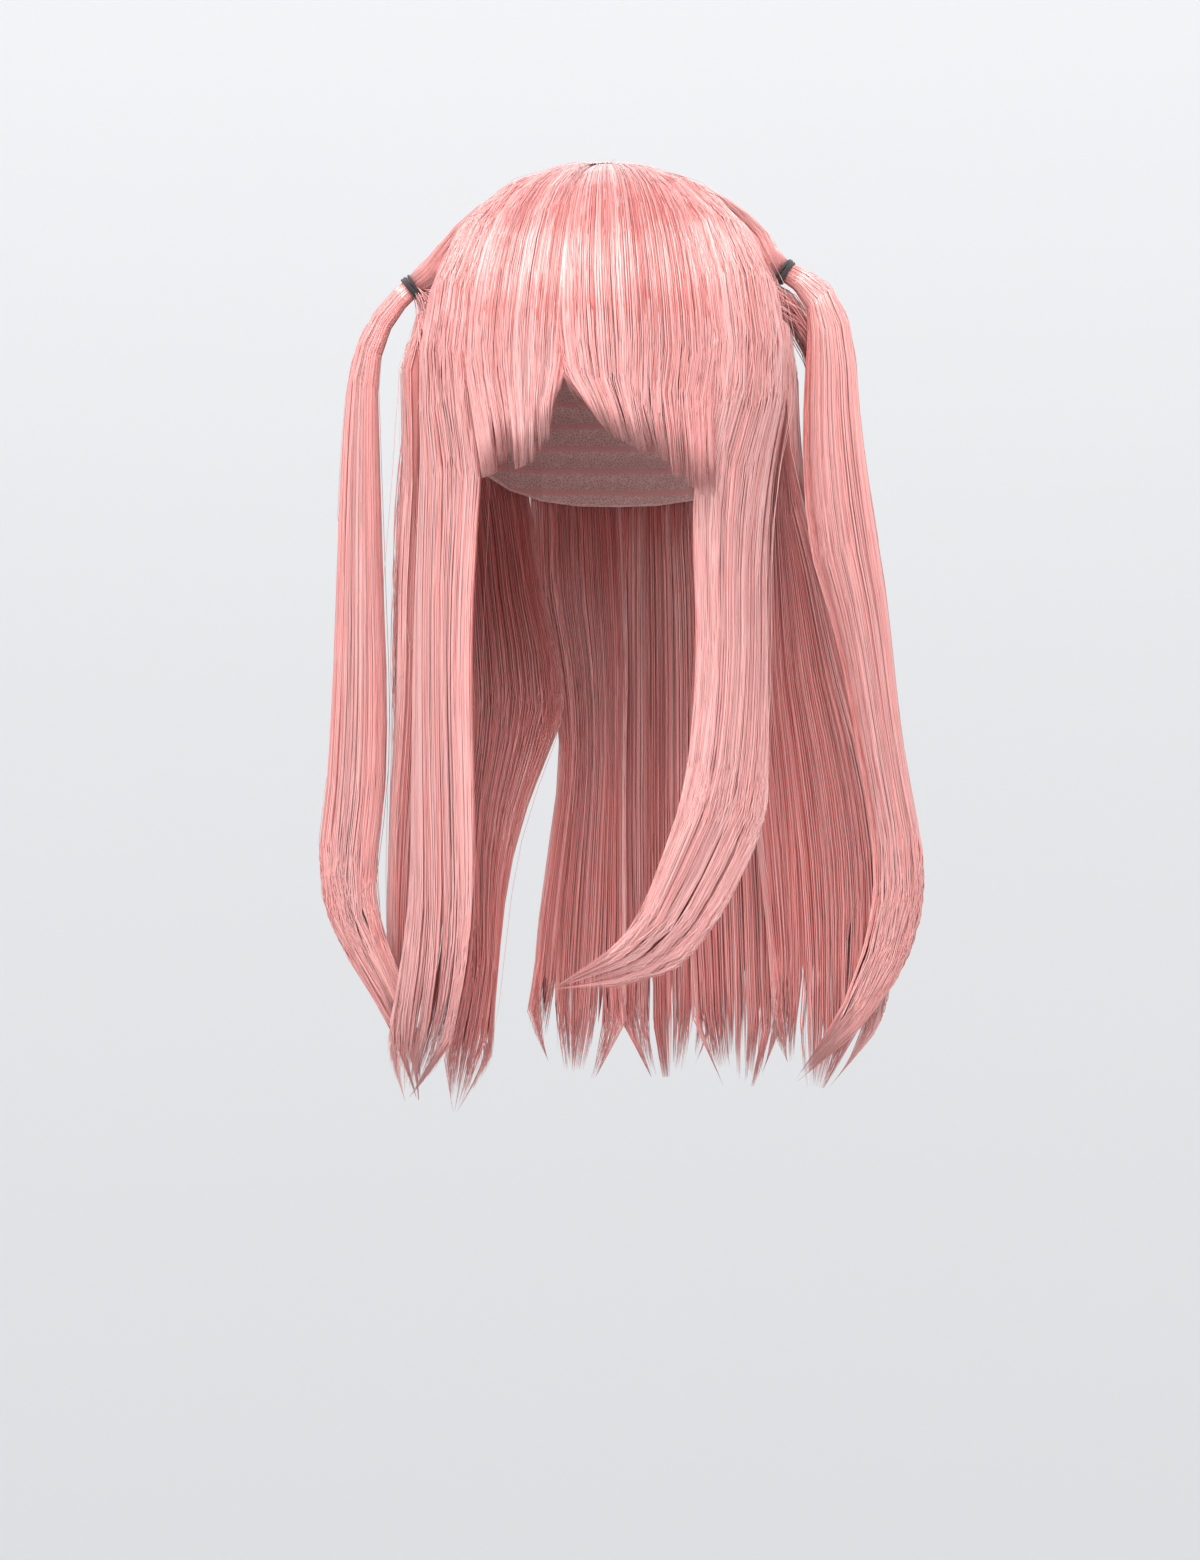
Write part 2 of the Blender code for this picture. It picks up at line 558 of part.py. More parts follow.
def add_tie(side, sign):
    """The elastic: a round band wound tight about the bundle."""
    axis = tie_axis(sign)
    across = np.array([0.0, 1.0, 0.0])
    up = np.cross(axis, across)
    inner = BUNDLE_RADIUS + CLEARANCE
    profile = [(inner, -0.5), (inner + TIE_WALL * 0.75, -0.5), (inner + TIE_WALL, -0.25)]
    profile += [(radius, -along) for radius, along in reversed(profile)]
    bm = bmesh.new()
    rings = []
    for k in range(TIE_SIDES):
        angle = 2 * math.pi * k / TIE_SIDES
        ray = across * math.cos(angle) + up * math.sin(angle)
        points = [tie_centre(side, sign) + ray * radius + axis * along * TIE_BAND for radius, along in profile]
        rings.append([bm.verts.new(p) for p in points])
    for here, after in zip(rings, rings[1:] + rings[:1]):
        for k in range(len(profile)):
            nxt = (k + 1) % len(profile)
            bm.faces.new((here[k], here[nxt], after[nxt], after[k]))
    return add_object(f"hair_tie_{side}", bm, "elastic")


def main():
    for obj in list(bpy.data.objects):
        bpy.data.objects.remove(obj, do_unlink=True)
    add_cap()
    for side, sign in (("right", -1), ("left", 1)):
        for kind in LENGTHS:
            add_lock(kind, side)
        add_gather(side, sign)
        add_tail(side, sign)
        add_tie(side, sign)


main()
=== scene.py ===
"""The looks of a straight, pink half-up wig with a split fringe and two tied side tails.

The hair is laid here strand by strand. Each lock's strands follow the same sections as its solid, so
they keep its place and form, and a slim core fills the lock's middle. Metres, +Z up, the face at -Y.
"""

import math

import bpy
import numpy as np
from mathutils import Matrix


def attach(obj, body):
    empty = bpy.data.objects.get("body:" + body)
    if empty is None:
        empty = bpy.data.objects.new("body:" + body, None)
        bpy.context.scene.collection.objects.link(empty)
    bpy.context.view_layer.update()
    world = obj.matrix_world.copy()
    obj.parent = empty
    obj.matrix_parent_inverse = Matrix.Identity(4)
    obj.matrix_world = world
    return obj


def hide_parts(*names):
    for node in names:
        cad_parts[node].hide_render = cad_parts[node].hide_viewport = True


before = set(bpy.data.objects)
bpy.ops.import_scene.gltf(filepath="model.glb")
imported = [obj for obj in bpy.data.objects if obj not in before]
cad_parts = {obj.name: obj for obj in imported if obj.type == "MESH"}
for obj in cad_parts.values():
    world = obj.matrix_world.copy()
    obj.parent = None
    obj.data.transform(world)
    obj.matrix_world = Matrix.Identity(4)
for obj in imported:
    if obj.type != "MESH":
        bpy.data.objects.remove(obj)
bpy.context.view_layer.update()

# The head and the cap on it
HEAD_WIDTH = 0.158
HEAD_DEPTH = 0.194
CROWN_HEIGHT = 0.100
NAPE_DEPTH = 0.140
HEAD_SQUARENESS = 2.4
CAP_WALL = 0.002
CLEARANCE = 0.0003

# The hair
HAIR_THICKNESS = 0.014
LENGTHS = {"fringe": 0.060, "side_lock": 0.362, "ear_lock": 0.362, "nape_lock": 0.372, "back_lock": 0.362}
TAIL_LENGTH = 0.415
HEAD_SPACING = 0.016
THINNEST = 0.0012

# The latitude at which the strands start round the crown, and how many degrees further up the loose hair
# starts, under the gathered hair
WHORL = 0.8
TUCK = 8.0

# Where the gathered hair starts: a little past the parting down the back, as azimuth and latitude
PAST_PARTING = ((176, 4.8), (181.0, 82))

# The ties
TIE_STANDOFF = 0.018
TIE_BACK = 0.006
TIE_ABOVE_EARS = 0.054
TIE_SLOPE = 35.0
BUNDLE_RADIUS = 0.0050
BUNDLE_FLARE = 1.35
TIE_BAND = 0.0050

HALF_WIDTH = HEAD_WIDTH / 2
HALF_DEPTH = HEAD_DEPTH / 2
SEAT = CAP_WALL + 3 * CLEARANCE
TIE_OUT = HALF_WIDTH + TIE_STANDOFF

# The camera: in front of the face, a little to the wearer's left, and about level with the middle of the
# wig. Its height is above the crown, so below 0. Angles are degrees, and the lens and sensor mm
CAMERA_DISTANCE = 1.85
CAMERA_AZIMUTH = 4.0
CAMERA_HEIGHT = -0.2762
CAMERA_ASIDE = 0.0031
CAMERA_PITCH = 0.917
CAMERA_LENS = 82.2
CAMERA_SENSOR = 36.0


def head_direction(azimuth, latitude):
    """The direction from the middle of the head: azimuth 0 at the face, 90 at the wearer's left ear, and
    latitude 0 at the crown."""
    azimuth, latitude = np.radians(azimuth), np.radians(latitude)
    flat = np.sin(latitude)
    return np.stack([flat * np.sin(azimuth), -flat * np.cos(azimuth), np.cos(latitude)], -1)


def on_head(direction, lift):
    """The point that far outside the cap's inner face in this direction."""
    height = np.where(direction[..., 2] > 0, CROWN_HEIGHT, NAPE_DEPTH)
    radii = np.stack([np.full(height.shape, HALF_WIDTH), np.full(height.shape, HALF_DEPTH), height], -1)
    reach = (np.abs(direction / radii) ** HEAD_SQUARENESS).sum(-1) ** (-1 / HEAD_SQUARENESS)
    middle = np.array([0.0, 0.0, -CROWN_HEIGHT])
    return middle + direction * (reach + lift)[..., None]


def arc_over_head(row, u):
    """A section on the cap: the middle line and the outward directions at each u from -1 to 1."""
    (azimuth_a, latitude_a), (azimuth_b, latitude_b), thickness, lift = row
    start = head_direction(azimuth_a, latitude_a)
    end = head_direction(azimuth_b, latitude_b)
    angle = math.acos(float(np.clip(start @ end, -1, 1)))
    share = ((u + 1) / 2)[:, None]
    direction = (np.sin((1 - share) * angle) * start + np.sin(share * angle) * end) / math.sin(angle)
    half = thickness * HAIR_THICKNESS / 2
    height = np.full(len(u), SEAT + half + lift * HAIR_THICKNESS)
    return on_head(direction, height), direction, np.full(len(u), half)


def free_section(centre, half_width, half_thickness, outward, across, bend, u):
    """A section that hangs free: an arc of half angle bend, convex towards outward."""
    bend = max(math.radians(bend), 1e-4)
    radius = half_width / bend
    sine, cosine = np.sin(u * bend)[:, None], np.cos(u * bend)[:, None]
    points = centre + across * radius * sine + outward * radius * (cosine - 1)
    return points, outward * cosine + across * sine, np.full(len(u), half_thickness)


def hanging_section(row, length, u):
    """A row of a hanging table as a section, at that share of length below the widest level."""
    drop, over, back, width, thickness, facing, bend, slant = (row[c] for c in HANG_COLUMNS)
    facing = math.radians(facing)
    outward = np.array([math.sin(facing), -math.cos(facing), 0.0])
    across = np.array([math.cos(facing), math.sin(facing), 0.0])
    centre = np.array([over * HALF_WIDTH, back * HALF_DEPTH, -CROWN_HEIGHT - drop * length])
    points, normals, halves = free_section(
        centre, width * HALF_WIDTH, thickness * HAIR_THICKNESS / 2, outward, across, bend, u
    )
    points[:, 2] += slant * length * u
    return points, normals, halves


def smooth_between(knots, values, at):
    """Values read along a smooth curve through one value for each knot."""
    slopes = np.empty_like(values)
    gaps = np.diff(knots).reshape((-1,) + (1,) * (values.ndim - 1))
    steps = np.diff(values, axis=0) / gaps
    slopes[0], slopes[-1] = steps[0], steps[-1]
    slopes[1:-1] = (steps[:-1] * gaps[1:] + steps[1:] * gaps[:-1]) / (gaps[:-1] + gaps[1:])
    index = np.clip(np.searchsorted(knots, at, side="right") - 1, 0, len(knots) - 2)
    span = (knots[index + 1] - knots[index]).reshape((-1,) + (1,) * (values.ndim - 1))
    t = ((at - knots[index]) / (knots[index + 1] - knots[index])).reshape(span.shape)
    return (
        (2 * t**3 - 3 * t**2 + 1) * values[index]
        + (t**3 - 2 * t**2 + t) * span * slopes[index]
        + (3 * t**2 - 2 * t**3) * values[index + 1]
        + (t**3 - t**2) * span * slopes[index + 1]
    )


def even_rows(rows, spacing):
    """The rows of a head table with more read between them, about that far apart on the cap."""
    table = np.array([[*row[0], *row[1], row[2], row[3]] for row in rows], float)
    steps = np.abs(np.diff(table[:, :4], axis=0)).max(-1)
    knots = np.concatenate([[0.0], np.cumsum(steps)])
    at = between_knots(knots, math.degrees(spacing / HALF_DEPTH))
    read = smooth_between(knots, table, at)
    return [((r[0], r[1]), (r[2], r[3]), r[4], r[5]) for r in read]


def between_knots(knots, spacing):
    """Every knot, and even steps of at most the spacing between one and the next."""
    at = [knots[0]]
    for start, end in zip(knots, knots[1:]):
        count = max(1, math.ceil((end - start) / spacing))
        at.extend(start + (end - start) * (k + 1) / count for k in range(count))
    return np.array(at)


def tie_centre(side, sign):
    out, up = TIE_PLACES[side]
    return np.array([sign * out * TIE_OUT, TIE_BACK, up * TIE_ABOVE_EARS - CROWN_HEIGHT])


def tie_axis(sign):
    """The way that the hair leaves the tie: outwards and down."""
    slope = math.radians(TIE_SLOPE)
    return np.array([sign * math.cos(slope), 0.0, -math.sin(slope)])


def tie_section(side, sign, along, radius):
    """A round section of the hair above the tie, that far along its axis."""
    axis = tie_axis(sign)
    across = np.array([0.0, sign, 0.0])
    outward = np.array([-axis[2] * sign, 0.0, abs(axis[0])])
    centre = tie_centre(side, sign) + axis * along
    return lambda u: free_section(centre, radius, radius, outward, across, 0.0, u)


# Sections of each lock on the cap, from the crown down. Each row holds the two ends of an arc as azimuth
# and latitude in degrees, and the lock's thickness and lift off the cap as shares of HAIR_THICKNESS. The
# rows without a side are the left lock's, which the right one mirrors.
HEAD_ROWS = {
    "fringe_right": [
        ((-35.5, 5), (-10, 5), 0.60, 0.0),
        ((-37, 20), (-8.5, 20), 0.62, 0.0),
        ((-37, 45), (-8.5, 45), 0.72, 0.0),
        ((-37, 68), (-8.5, 68), 0.75, 0.0),
        ((-37, 88), (-9.2, 88), 0.72, 0.1),
    ],
    "fringe_left": [
        ((-5.5, 5), (32.5, 5), 0.60, 0.0),
        ((-7.5, 20), (34, 20), 0.62, 0.0),
        ((-7.5, 45), (34, 45), 0.72, 0.0),
        ((-7.5, 68), (34, 68), 0.75, 0.0),
        ((-6.5, 86), (34.3, 88), 0.72, 0.1),
    ],
    "side_lock_right": [
        ((-86, 5), (-40, 5), 0.60, 0.0),
        ((-88, 20), (-38, 20), 0.62, 0.0),
        ((-88, 45), (-38, 45), 0.82, 0.0),
        ((-88, 68), (-38, 68), 0.95, 0.0),
        ((-88, 88), (-38, 88), 0.95, 0.06),
    ],
    "side_lock_left": [
        ((37, 5), (86, 5), 0.60, 0.0),
        ((35, 20), (88, 20), 0.62, 0.0),
        ((35, 45), (88, 45), 0.82, 0.0),
        ((35, 68), (88, 68), 0.95, 0.0),
        ((35.3, 88), (88, 88), 0.95, 0.06),
    ],
    "ear_lock_right": [
        ((-117, 71), (-91, 62.5), 0.50, -0.03),
        ((-118, 77), (-91, 69), 1.05, 0.45),
        ((-118, 86), (-91, 80), 1.20, 0.70),
        ((-118, 96), (-91, 94), 1.20, 0.75),
    ],
    "ear_lock_left": [
        ((91, 62.5), (117, 71), 0.50, -0.03),
        ((91, 69), (118, 77), 0.85, 0.15),
        ((91, 80), (118, 86), 0.95, 0.30),
        ((91, 94), (118, 96), 0.95, 0.36),
    ],
    "nape_lock": [
        ((119, 71.5), (148, 80), 0.45, -0.04),
        ((119, 82), (148, 87), 0.75, 0.05),
        ((119, 97), (148, 97), 0.80, 0.25),
    ],
    "back_lock": [
        ((149, 80.5), (179.4, 84.5), 0.45, -0.04),
        ((149, 98), (179.4, 98), 0.80, 0.25),
    ],
    "gather": [
        ((172, 5), (179.4, 82), 0.62, 0.05),
        ((118, 9), (158, 80), 0.68, 0.05),
        ((94, 20), (136, 75), 0.80, 0.05),
        ((91, 34), (118, 68), 1.00, 0.15),
        ((91, 46), (106, 61), 1.10, 0.40),
    ],
}

# Sections that hang free, from the ears' level down. Drop and slant are shares of that lock's length,
# over and width (half the section's) of half the head's width, back of half its depth, and thickness of
# HAIR_THICKNESS. Facing and bend are degrees. A row that ends before its slant has none.
HANG_COLUMNS = ("drop", "over", "back", "width", "thickness", "facing", "bend", "slant")
HANG_ROWS = {
    "fringe_right": [
        (0.42, -0.49, -1.03, 0.30, 0.52, -24, 14, 0.02),
        (0.68, -0.48, -1.02, 0.29, 0.36, -24, 14, 0.04),
        (0.79, -0.48, -1.02, 0.27, 0.20, -24, 14, 0.05),
    ],
    "fringe_left": [
        (0.30, 0.31, -1.06, 0.45, 0.52, 15, 20, -0.10),
        (0.62, 0.37, -1.03, 0.43, 0.36, 18, 20, -0.24),
        (0.74, 0.38, -1.02, 0.42, 0.20, 19, 20, -0.28),
    ],
    "side_lock_right": [
        (0.14, -1.02, -0.50, 0.45, 0.90, -62, 22),
        (0.27, -1.04, -0.48, 0.41, 0.90, -60, 18),
        (0.41, -1.05, -0.46, 0.39, 0.90, -58, 14),
        (0.60, -1.05, -0.43, 0.39, 0.88, -55, 12),
        (0.74, -1.05, -0.42, 0.38, 0.85, -52, 10),
        (0.83, -1.09, -0.40, 0.37, 0.80, -48, 8),
        (0.90, -1.15, -0.37, 0.33, 0.68, -44, 6),
        (0.955, -1.20, -0.35, 0.25, 0.50, -40, 4),
        (1.0, -1.25, -0.34, 0.09, 0.25, -40, 2),
    ],
    "side_lock_left": [
        (0.14, 0.93, -0.52, 0.46, 0.90, 62, 24),
        (0.25, 0.88, -0.50, 0.41, 0.90, 60, 18),
        (0.37, 0.88, -0.50, 0.38, 0.90, 58, 14),
        (0.45, 0.87, -0.52, 0.37, 0.90, 55, 12),
        (0.54, 0.85, -0.56, 0.35, 0.85, 48, 10, -0.006),
        (0.60, 0.82, -0.60, 0.325, 0.80, 40, 8, -0.015),
        (0.67, 0.70, -0.67, 0.27, 0.75, 30, 6, -0.021),
        (0.735, 0.56, -0.75, 0.215, 0.70, 22, 4, -0.026),
        (0.79, 0.40, -0.83, 0.14, 0.60, 16, 4, -0.028),
        (0.82, 0.18, -0.91, 0.055, 0.45, 12, 2, -0.022),
        (0.84, -0.12, -1.00, 0.015, 0.20, 10, 2, -0.007),
    ],
    "ear_lock_right": [
        (0.14, -1.28, 0.22, 0.28, 1.05, -95, 10),
        (0.27, -1.30, 0.21, 0.28, 1.05, -96, 8),
        (0.45, -1.31, 0.20, 0.28, 1.05, -96, 6),
        (0.62, -1.35, 0.22, 0.26, 1.05, -98, 4),
        (0.75, -1.39, 0.25, 0.22, 1.0, -98, 4),
        (0.85, -1.40, 0.27, 0.18, 0.85, -98, 4),
        (0.93, -1.36, 0.28, 0.13, 0.6, -98, 2),
        (0.975, -1.32, 0.28, 0.05, 0.25, -98, 2),
    ],
    "ear_lock_left": [
        (0.14, 1.19, 0.33, 0.29, 0.90, 108, 12),
        (0.28, 1.23, 0.42, 0.33, 0.85, 130, 8),
        (0.41, 1.27, 0.48, 0.37, 0.80, 144, 6),
        (0.55, 1.36, 0.50, 0.41, 0.75, 155, 4),
        (0.69, 1.43, 0.51, 0.42, 0.70, 160, 4),
        (0.83, 1.45, 0.50, 0.38, 0.65, 162, 4),
        (0.94, 1.42, 0.48, 0.28, 0.50, 160, 2),
        (1.0, 1.38, 0.46, 0.13, 0.28, 160, 2),
    ],
    "nape_lock_right": [
        (0.14, -0.87, 0.78, 0.31, 0.80, -134, 14),
        (0.27, -0.80, 0.70, 0.33, 0.85, -137, 10),
        (0.38, -0.71, 0.62, 0.38, 0.85, -140, 8),
        (0.46, -0.68, 0.55, 0.38, 0.85, -140, 6),
        (0.54, -0.75, 0.45, 0.31, 0.85, -140, 4),
        (0.62, -0.82, 0.35, 0.25, 0.85, -138, 4),
        (0.73, -0.85, 0.24, 0.18, 0.85, -134, 4),
        (0.81, -0.85, 0.16, 0.15, 0.85, -130, 4),
        (0.89, -0.89, 0.10, 0.17, 0.80, -130, 4),
        (0.955, -0.93, 0.06, 0.16, 0.60, -130, 4),
        (1.0, -0.98, 0.04, 0.06, 0.25, -130, 2),
    ],
    "nape_lock_left": [
        (0.14, 0.88, 0.79, 0.29, 0.80, 134, 14),
        (0.27, 0.85, 0.81, 0.29, 0.80, 144, 10),
        (0.45, 0.80, 0.84, 0.28, 0.80, 154, 6),
        (0.62, 0.80, 0.84, 0.29, 0.80, 158, 4),
        (0.78, 0.82, 0.83, 0.30, 0.75, 160, 4),
        (0.90, 0.84, 0.82, 0.26, 0.60, 160, 4),
        (0.98, 0.85, 0.81, 0.13, 0.30, 160, 2),
    ],
    "back_lock_right": [
        (0.14, -0.30, 1.07, 0.29, 0.80, -167, 10),
        (0.27, -0.27, 1.01, 0.29, 0.80, -170, 8),
        (0.42, -0.19, 0.95, 0.23, 0.80, -174, 6),
        (0.53, -0.17, 0.93, 0.205, 0.80, -176, 4),
        (0.68, -0.21, 0.92, 0.24, 0.80, -176, 4),
        (0.82, -0.25, 0.91, 0.28, 0.75, -176, 4),
        (0.93, -0.27, 0.90, 0.26, 0.58, -176, 4),
        (1.0, -0.28, 0.89, 0.14, 0.30, -176, 2),
    ],
    "back_lock_left": [
        (0.14, 0.31, 1.07, 0.29, 0.80, 167, 10),
        (0.27, 0.32, 1.05, 0.31, 0.80, 168, 8),
        (0.45, 0.33, 1.03, 0.32, 0.80, 170, 6),
        (0.65, 0.33, 1.02, 0.32, 0.80, 170, 4),
        (0.82, 0.34, 1.00, 0.31, 0.75, 170, 4),
        (0.93, 0.35, 0.98, 0.26, 0.55, 170, 4),
        (1.0, 0.36, 0.97, 0.14, 0.30, 170, 2),
    ],
}

# Where each tie is: out is a share of TIE_OUT, and up of TIE_ABOVE_EARS
TIE_PLACES = {"right": (1.05, 0.945), "left": (0.955, 1.07)}

# Sections of the tails below the ties. Drop is a share of TAIL_LENGTH, out of the tie's own distance from
# the middle, back of half the head's depth, and width and thickness (half the section's) of
# BUNDLE_RADIUS. Lean is the slope of the section in degrees.
TAIL_COLUMNS = ("drop", "out", "back", "width", "thickness", "lean")
TAIL_ROWS = {
    "right": [
        (0.020, 1.086, 0.07, 1.10, 1.20, 55),
        (0.055, 1.186, 0.06, 1.25, 1.50, 40),
        (0.105, 1.243, 0.05, 1.50, 1.80, 20),
        (0.165, 1.257, 0.04, 1.75, 2.05, 8),
        (0.27, 1.262, 0.02, 2.10, 2.25, 2),
        (0.40, 1.262, 0.00, 2.45, 2.45, 0),
        (0.53, 1.267, 0.00, 2.85, 2.45, 2),
        (0.65, 1.290, -0.01, 3.00, 2.40, 3),
        (0.725, 1.324, -0.02, 2.95, 2.30, 0),
        (0.775, 1.310, -0.03, 2.60, 2.15, -12),
        (0.825, 1.238, -0.04, 2.20, 1.85, -28),
        (0.875, 1.124, -0.04, 1.80, 1.55, -28),
        (0.95, 1.000, -0.04, 1.10, 1.00, -18),
        (1.0, 0.971, -0.04, 0.40, 0.35, -8),
    ],
    "left": [
        (0.020, 1.152, 0.05, 1.40, 1.30, 50),
        (0.060, 1.236, 0.02, 1.95, 1.80, 28),
        (0.105, 1.267, 0.00, 2.25, 2.05, 10),
        (0.155, 1.272, -0.02, 2.45, 2.15, 5),
        (0.275, 1.309, -0.03, 2.95, 2.20, 4),
        (0.350, 1.356, 0.00, 3.05, 2.20, 9),
        (0.400, 1.408, 0.04, 2.80, 2.20, 10),
        (0.500, 1.487, 0.11, 2.30, 2.25, 9),
        (0.590, 1.545, 0.16, 2.10, 2.25, 9),
        (0.660, 1.602, 0.19, 2.10, 2.20, 10),
        (0.735, 1.654, 0.21, 2.25, 2.10, 2),
        (0.785, 1.654, 0.22, 2.30, 2.00, -8),
        (0.840, 1.602, 0.23, 2.15, 1.80, -22),
        (0.890, 1.508, 0.23, 1.80, 1.45, -32),
        (0.945, 1.361, 0.23, 1.10, 0.95, -35),
        (1.0, 1.131, 0.23, 0.35, 0.35, -45),
    ],
}


def mirrored(row):
    """A head row for the other side, with its ends swapped so that u still runs towards the left."""
    (azimuth_a, latitude_a), (azimuth_b, latitude_b), thickness, lift = row
    return (-azimuth_b, latitude_b), (-azimuth_a, latitude_a), thickness, lift


def head_sections(kind, side):
    """The sections on the cap, from the side's own rows or from the left lock's, mirrored."""
    rows = HEAD_ROWS.get(f"{kind}_{side}") or HEAD_ROWS[kind]
    (azimuth_a, latitude_a), (azimuth_b, latitude_b), thickness, lift = rows[0]
    if kind in ("fringe", "side_lock"):
        rows = [((azimuth_a, WHORL), (azimuth_b, WHORL), thickness, lift), *rows]
    elif kind == "gather":
        rows = [(*PAST_PARTING, thickness, lift), *rows]
    else:
        under = ((azimuth_a, latitude_a - TUCK), (azimuth_b, latitude_b - TUCK), 0.25, -0.05)
        rows = [under, *rows]
    if kind in HEAD_ROWS and side == "right":
        rows = [mirrored(row) for row in rows]
    return [lambda u, row=row: arc_over_head(row, u) for row in even_rows(rows, HEAD_SPACING)]


def tail_section(centre, width, thickness, lean, sign):
    """A section of a tail, whose plane slopes down towards the head by lean degrees."""
    lean = math.radians(lean)
    across = np.array([math.cos(lean), 0.0, sign * math.sin(lean)])
    outward = np.array([0.0, -1.0, 0.0])
    return lambda u: free_section(centre, width, thickness, outward, across, 0.0, u)


# How each kind of lock is filled. Strands is how many there are and rows how many points each has. Clumps
# are the loose groups that the ends part into, and wisps the finer ones all the way down. Pull is how far
# the ends draw together, uneven how much the lengths differ, width the width of a strand in mm, and tone how
# light the lock is, from 0 to 1. The tone holds painted light and shade: the tails and the fringe are set
# darker, and the locks by the ears, at the nape and at the back lighter, for how the light falls on them.
STYLE_COLUMNS = ("strands", "rows", "clumps", "wisps", "pull", "uneven", "width", "tone")
STYLES = {
    "fringe": (960, 13, 16, 110, 0.25, 0.022, 0.68, 0.43),
    "side_lock": (820, 18, 12, 90, 0.42, 0.034, 0.80, 0.50),
    "ear_lock": (560, 15, 9, 60, 0.42, 0.040, 0.95, 0.62),
    "nape_lock": (500, 15, 9, 54, 0.42, 0.040, 0.95, 0.57),
    "back_lock": (500, 15, 9, 54, 0.42, 0.040, 0.95, 0.57),
    "gather": (740, 14, 14, 90, 0.00, 0.000, 0.90, 0.48),
    "tail": (670, 18, 8, 70, 0.45, 0.034, 0.82, 0.40),
}

# The rows of a tail's strands lie closer together near the tie, by this power
TAIL_ROWS_NEAR_TIE = 1.35

# Where the lower edge of the fringe is cut shorter, in mm, read across each half towards the left
FRINGE_CUTS = {
    "fringe_right": ((-1.0, 0), (-0.25, 1), (-0.12, 6), (0.0, 0), (0.55, 2), (0.8, 9), (1.0, 34)),
    "fringe_left": ((-1.0, 26), (-0.86, 9), (-0.65, 1), (0.0, 0), (1.0, 0)),
}

# How far the strands reach across a lock's right and left edge, as a share of its half width: at the
# crown, at the ears' level, and where it hangs. Neighbours that grow together reach over each other.
EDGES = {
    "fringe_right": ((1.10, 1.12, 1.02), (1.24, 1.22, 0.96)),
    "fringe_left": ((1.20, 1.16, 0.96), (1.08, 1.10, 1.06)),
    "side_lock_right": ((1.15, 1.09, 1.03), (1.10, 1.08, 1.02)),
    "side_lock_left": ((1.10, 1.08, 1.02), (1.15, 1.09, 1.03)),
    "ear_lock_right": ((1.06, 1.06, 1.12), (1.06, 1.06, 1.12)),
    "ear_lock_left": ((1.06, 1.20, 1.25), (1.06, 1.06, 1.12)),
    "nape_lock_right": ((1.06, 1.06, 1.06), (1.06, 1.06, 1.06)),
    "nape_lock_left": ((1.06, 1.06, 1.14), (1.06, 1.06, 1.14)),
    "back_lock": ((1.06, 1.08, 1.12), (1.06, 1.08, 1.12)),
    "gather_right": ((1.03, 1.02, 1.00), (1.12, 1.08, 1.00)),
    "gather_left": ((1.12, 1.08, 1.00), (1.03, 1.02, 1.00)),
    "tail_right": ((1.02, 1.02, 1.02), (1.02, 1.02, 1.02)),
    "tail_left": ((1.0, 1.0, 1.25), (1.02, 1.02, 1.02)),
}

# Where those places are: shares of the length on the head, and of the whole length past the head's edge
CROWN_PLACE = 0.45
EAR_PLACE = 0.85
FRINGE_EAR_PLACE = 1.04
HANG_PLACE = 0.12

# How much wider than its solid each kind of lock stays at its very end
END_SPREAD = {"side_lock": 0.20, "ear_lock": 0.6, "nape_lock": 0.6, "back_lock": 0.7, "tail": 0.25}

# The grid that each lock is read on, across and down
GRID_U = np.linspace(-1.3, 1.3, 53)
GRID_ROWS = 160

# How the strands share out a lock. The deepest lie that share of the half thickness inside its surface.
EDGE_CROWDING = 0.5
CLUMP_BLUR = 0.02
OUTER_SHARE = 0.60
SHORTER_SHARE = 0.14
STRAY_SHARE = 0.02
HANG_DEEPEST = 0.5
HEAD_DEEPEST = 0.65

# Where they end, as shares of the lock's length, and how unevenly, for each unevenness of a single strand
USUAL_END = 1.015
SHORTEST = 0.70
LONGEST = 1.02
CLUMP_UNEVEN = 0.7
LAYER_UNEVEN = 6

# Where they change on their way, as shares of the length. They come loose around the head's edge.
LOOSE_BEFORE = 0.10
LOOSE_AFTER = 0.14
DRAW_SPAN = (0.60, 1.0)
FLICK_SPAN = (0.75, 1.05)
SPREAD_SPAN = (0.88, 1.0)
TAPER_SPAN = (0.90, 1.0)
HELD_SPAN = (0.9, 1.0)

# How far they draw to their wisp and clump, flick aside and stray, and their slow waves, two across the
# lock and one in depth: how many down the lock, and how large
WISP_DRAW = 0.4
CLUMP_DRAWS = (0.2, 1.8)
STRAND_DRAWS = (0.3, 1.0)
FLICK = 0.10
STRAY_ASIDE = 0.18
STRAY_OUT = (0.25, 0.5)
WAVES = ((1.1, 0.006), (2.9, 0.0015), (1.9, 0.03))

# How much thinner a lock is at its edges on the head, and where it draws together
EDGE_THINNER = 0.35
DRAWN_THINNER = 0.65

# How deep the roots lie, over which share of the length they rise, and how far the gathered hair's lower
# edge stays down
ROOT_DEPTH = -0.9
ROOT_SPAN = (-0.01, 0.05)
GATHER_DEPTH = -0.85
GATHER_SPAN = (-0.04, 0.20)
GATHER_EDGE_LOWER = 0.55

# A strand's section: half its width in metres for each mm of it, and how the widths differ
HALF_WIDTH_PER_MM = 0.5e-3
WIDTH_RANGE = (0.65, 1.3)
NARROWEST = 0.16
TIP_NARROWER = 0.88
STRAY_WIDTH = 0.45
STRAND_FLATNESS = 0.55
ROLL = 0.4
TUBE_SIDES = 3

# How the tones of clumps, wisps and single strands differ, and how much painted shade darkens the strands on
# the inner side
CLUMP_TONES = 0.05
WISP_TONES = 0.06
STRAND_TONES = 0.11
INNER_PAINTED_SHADE = 0.48

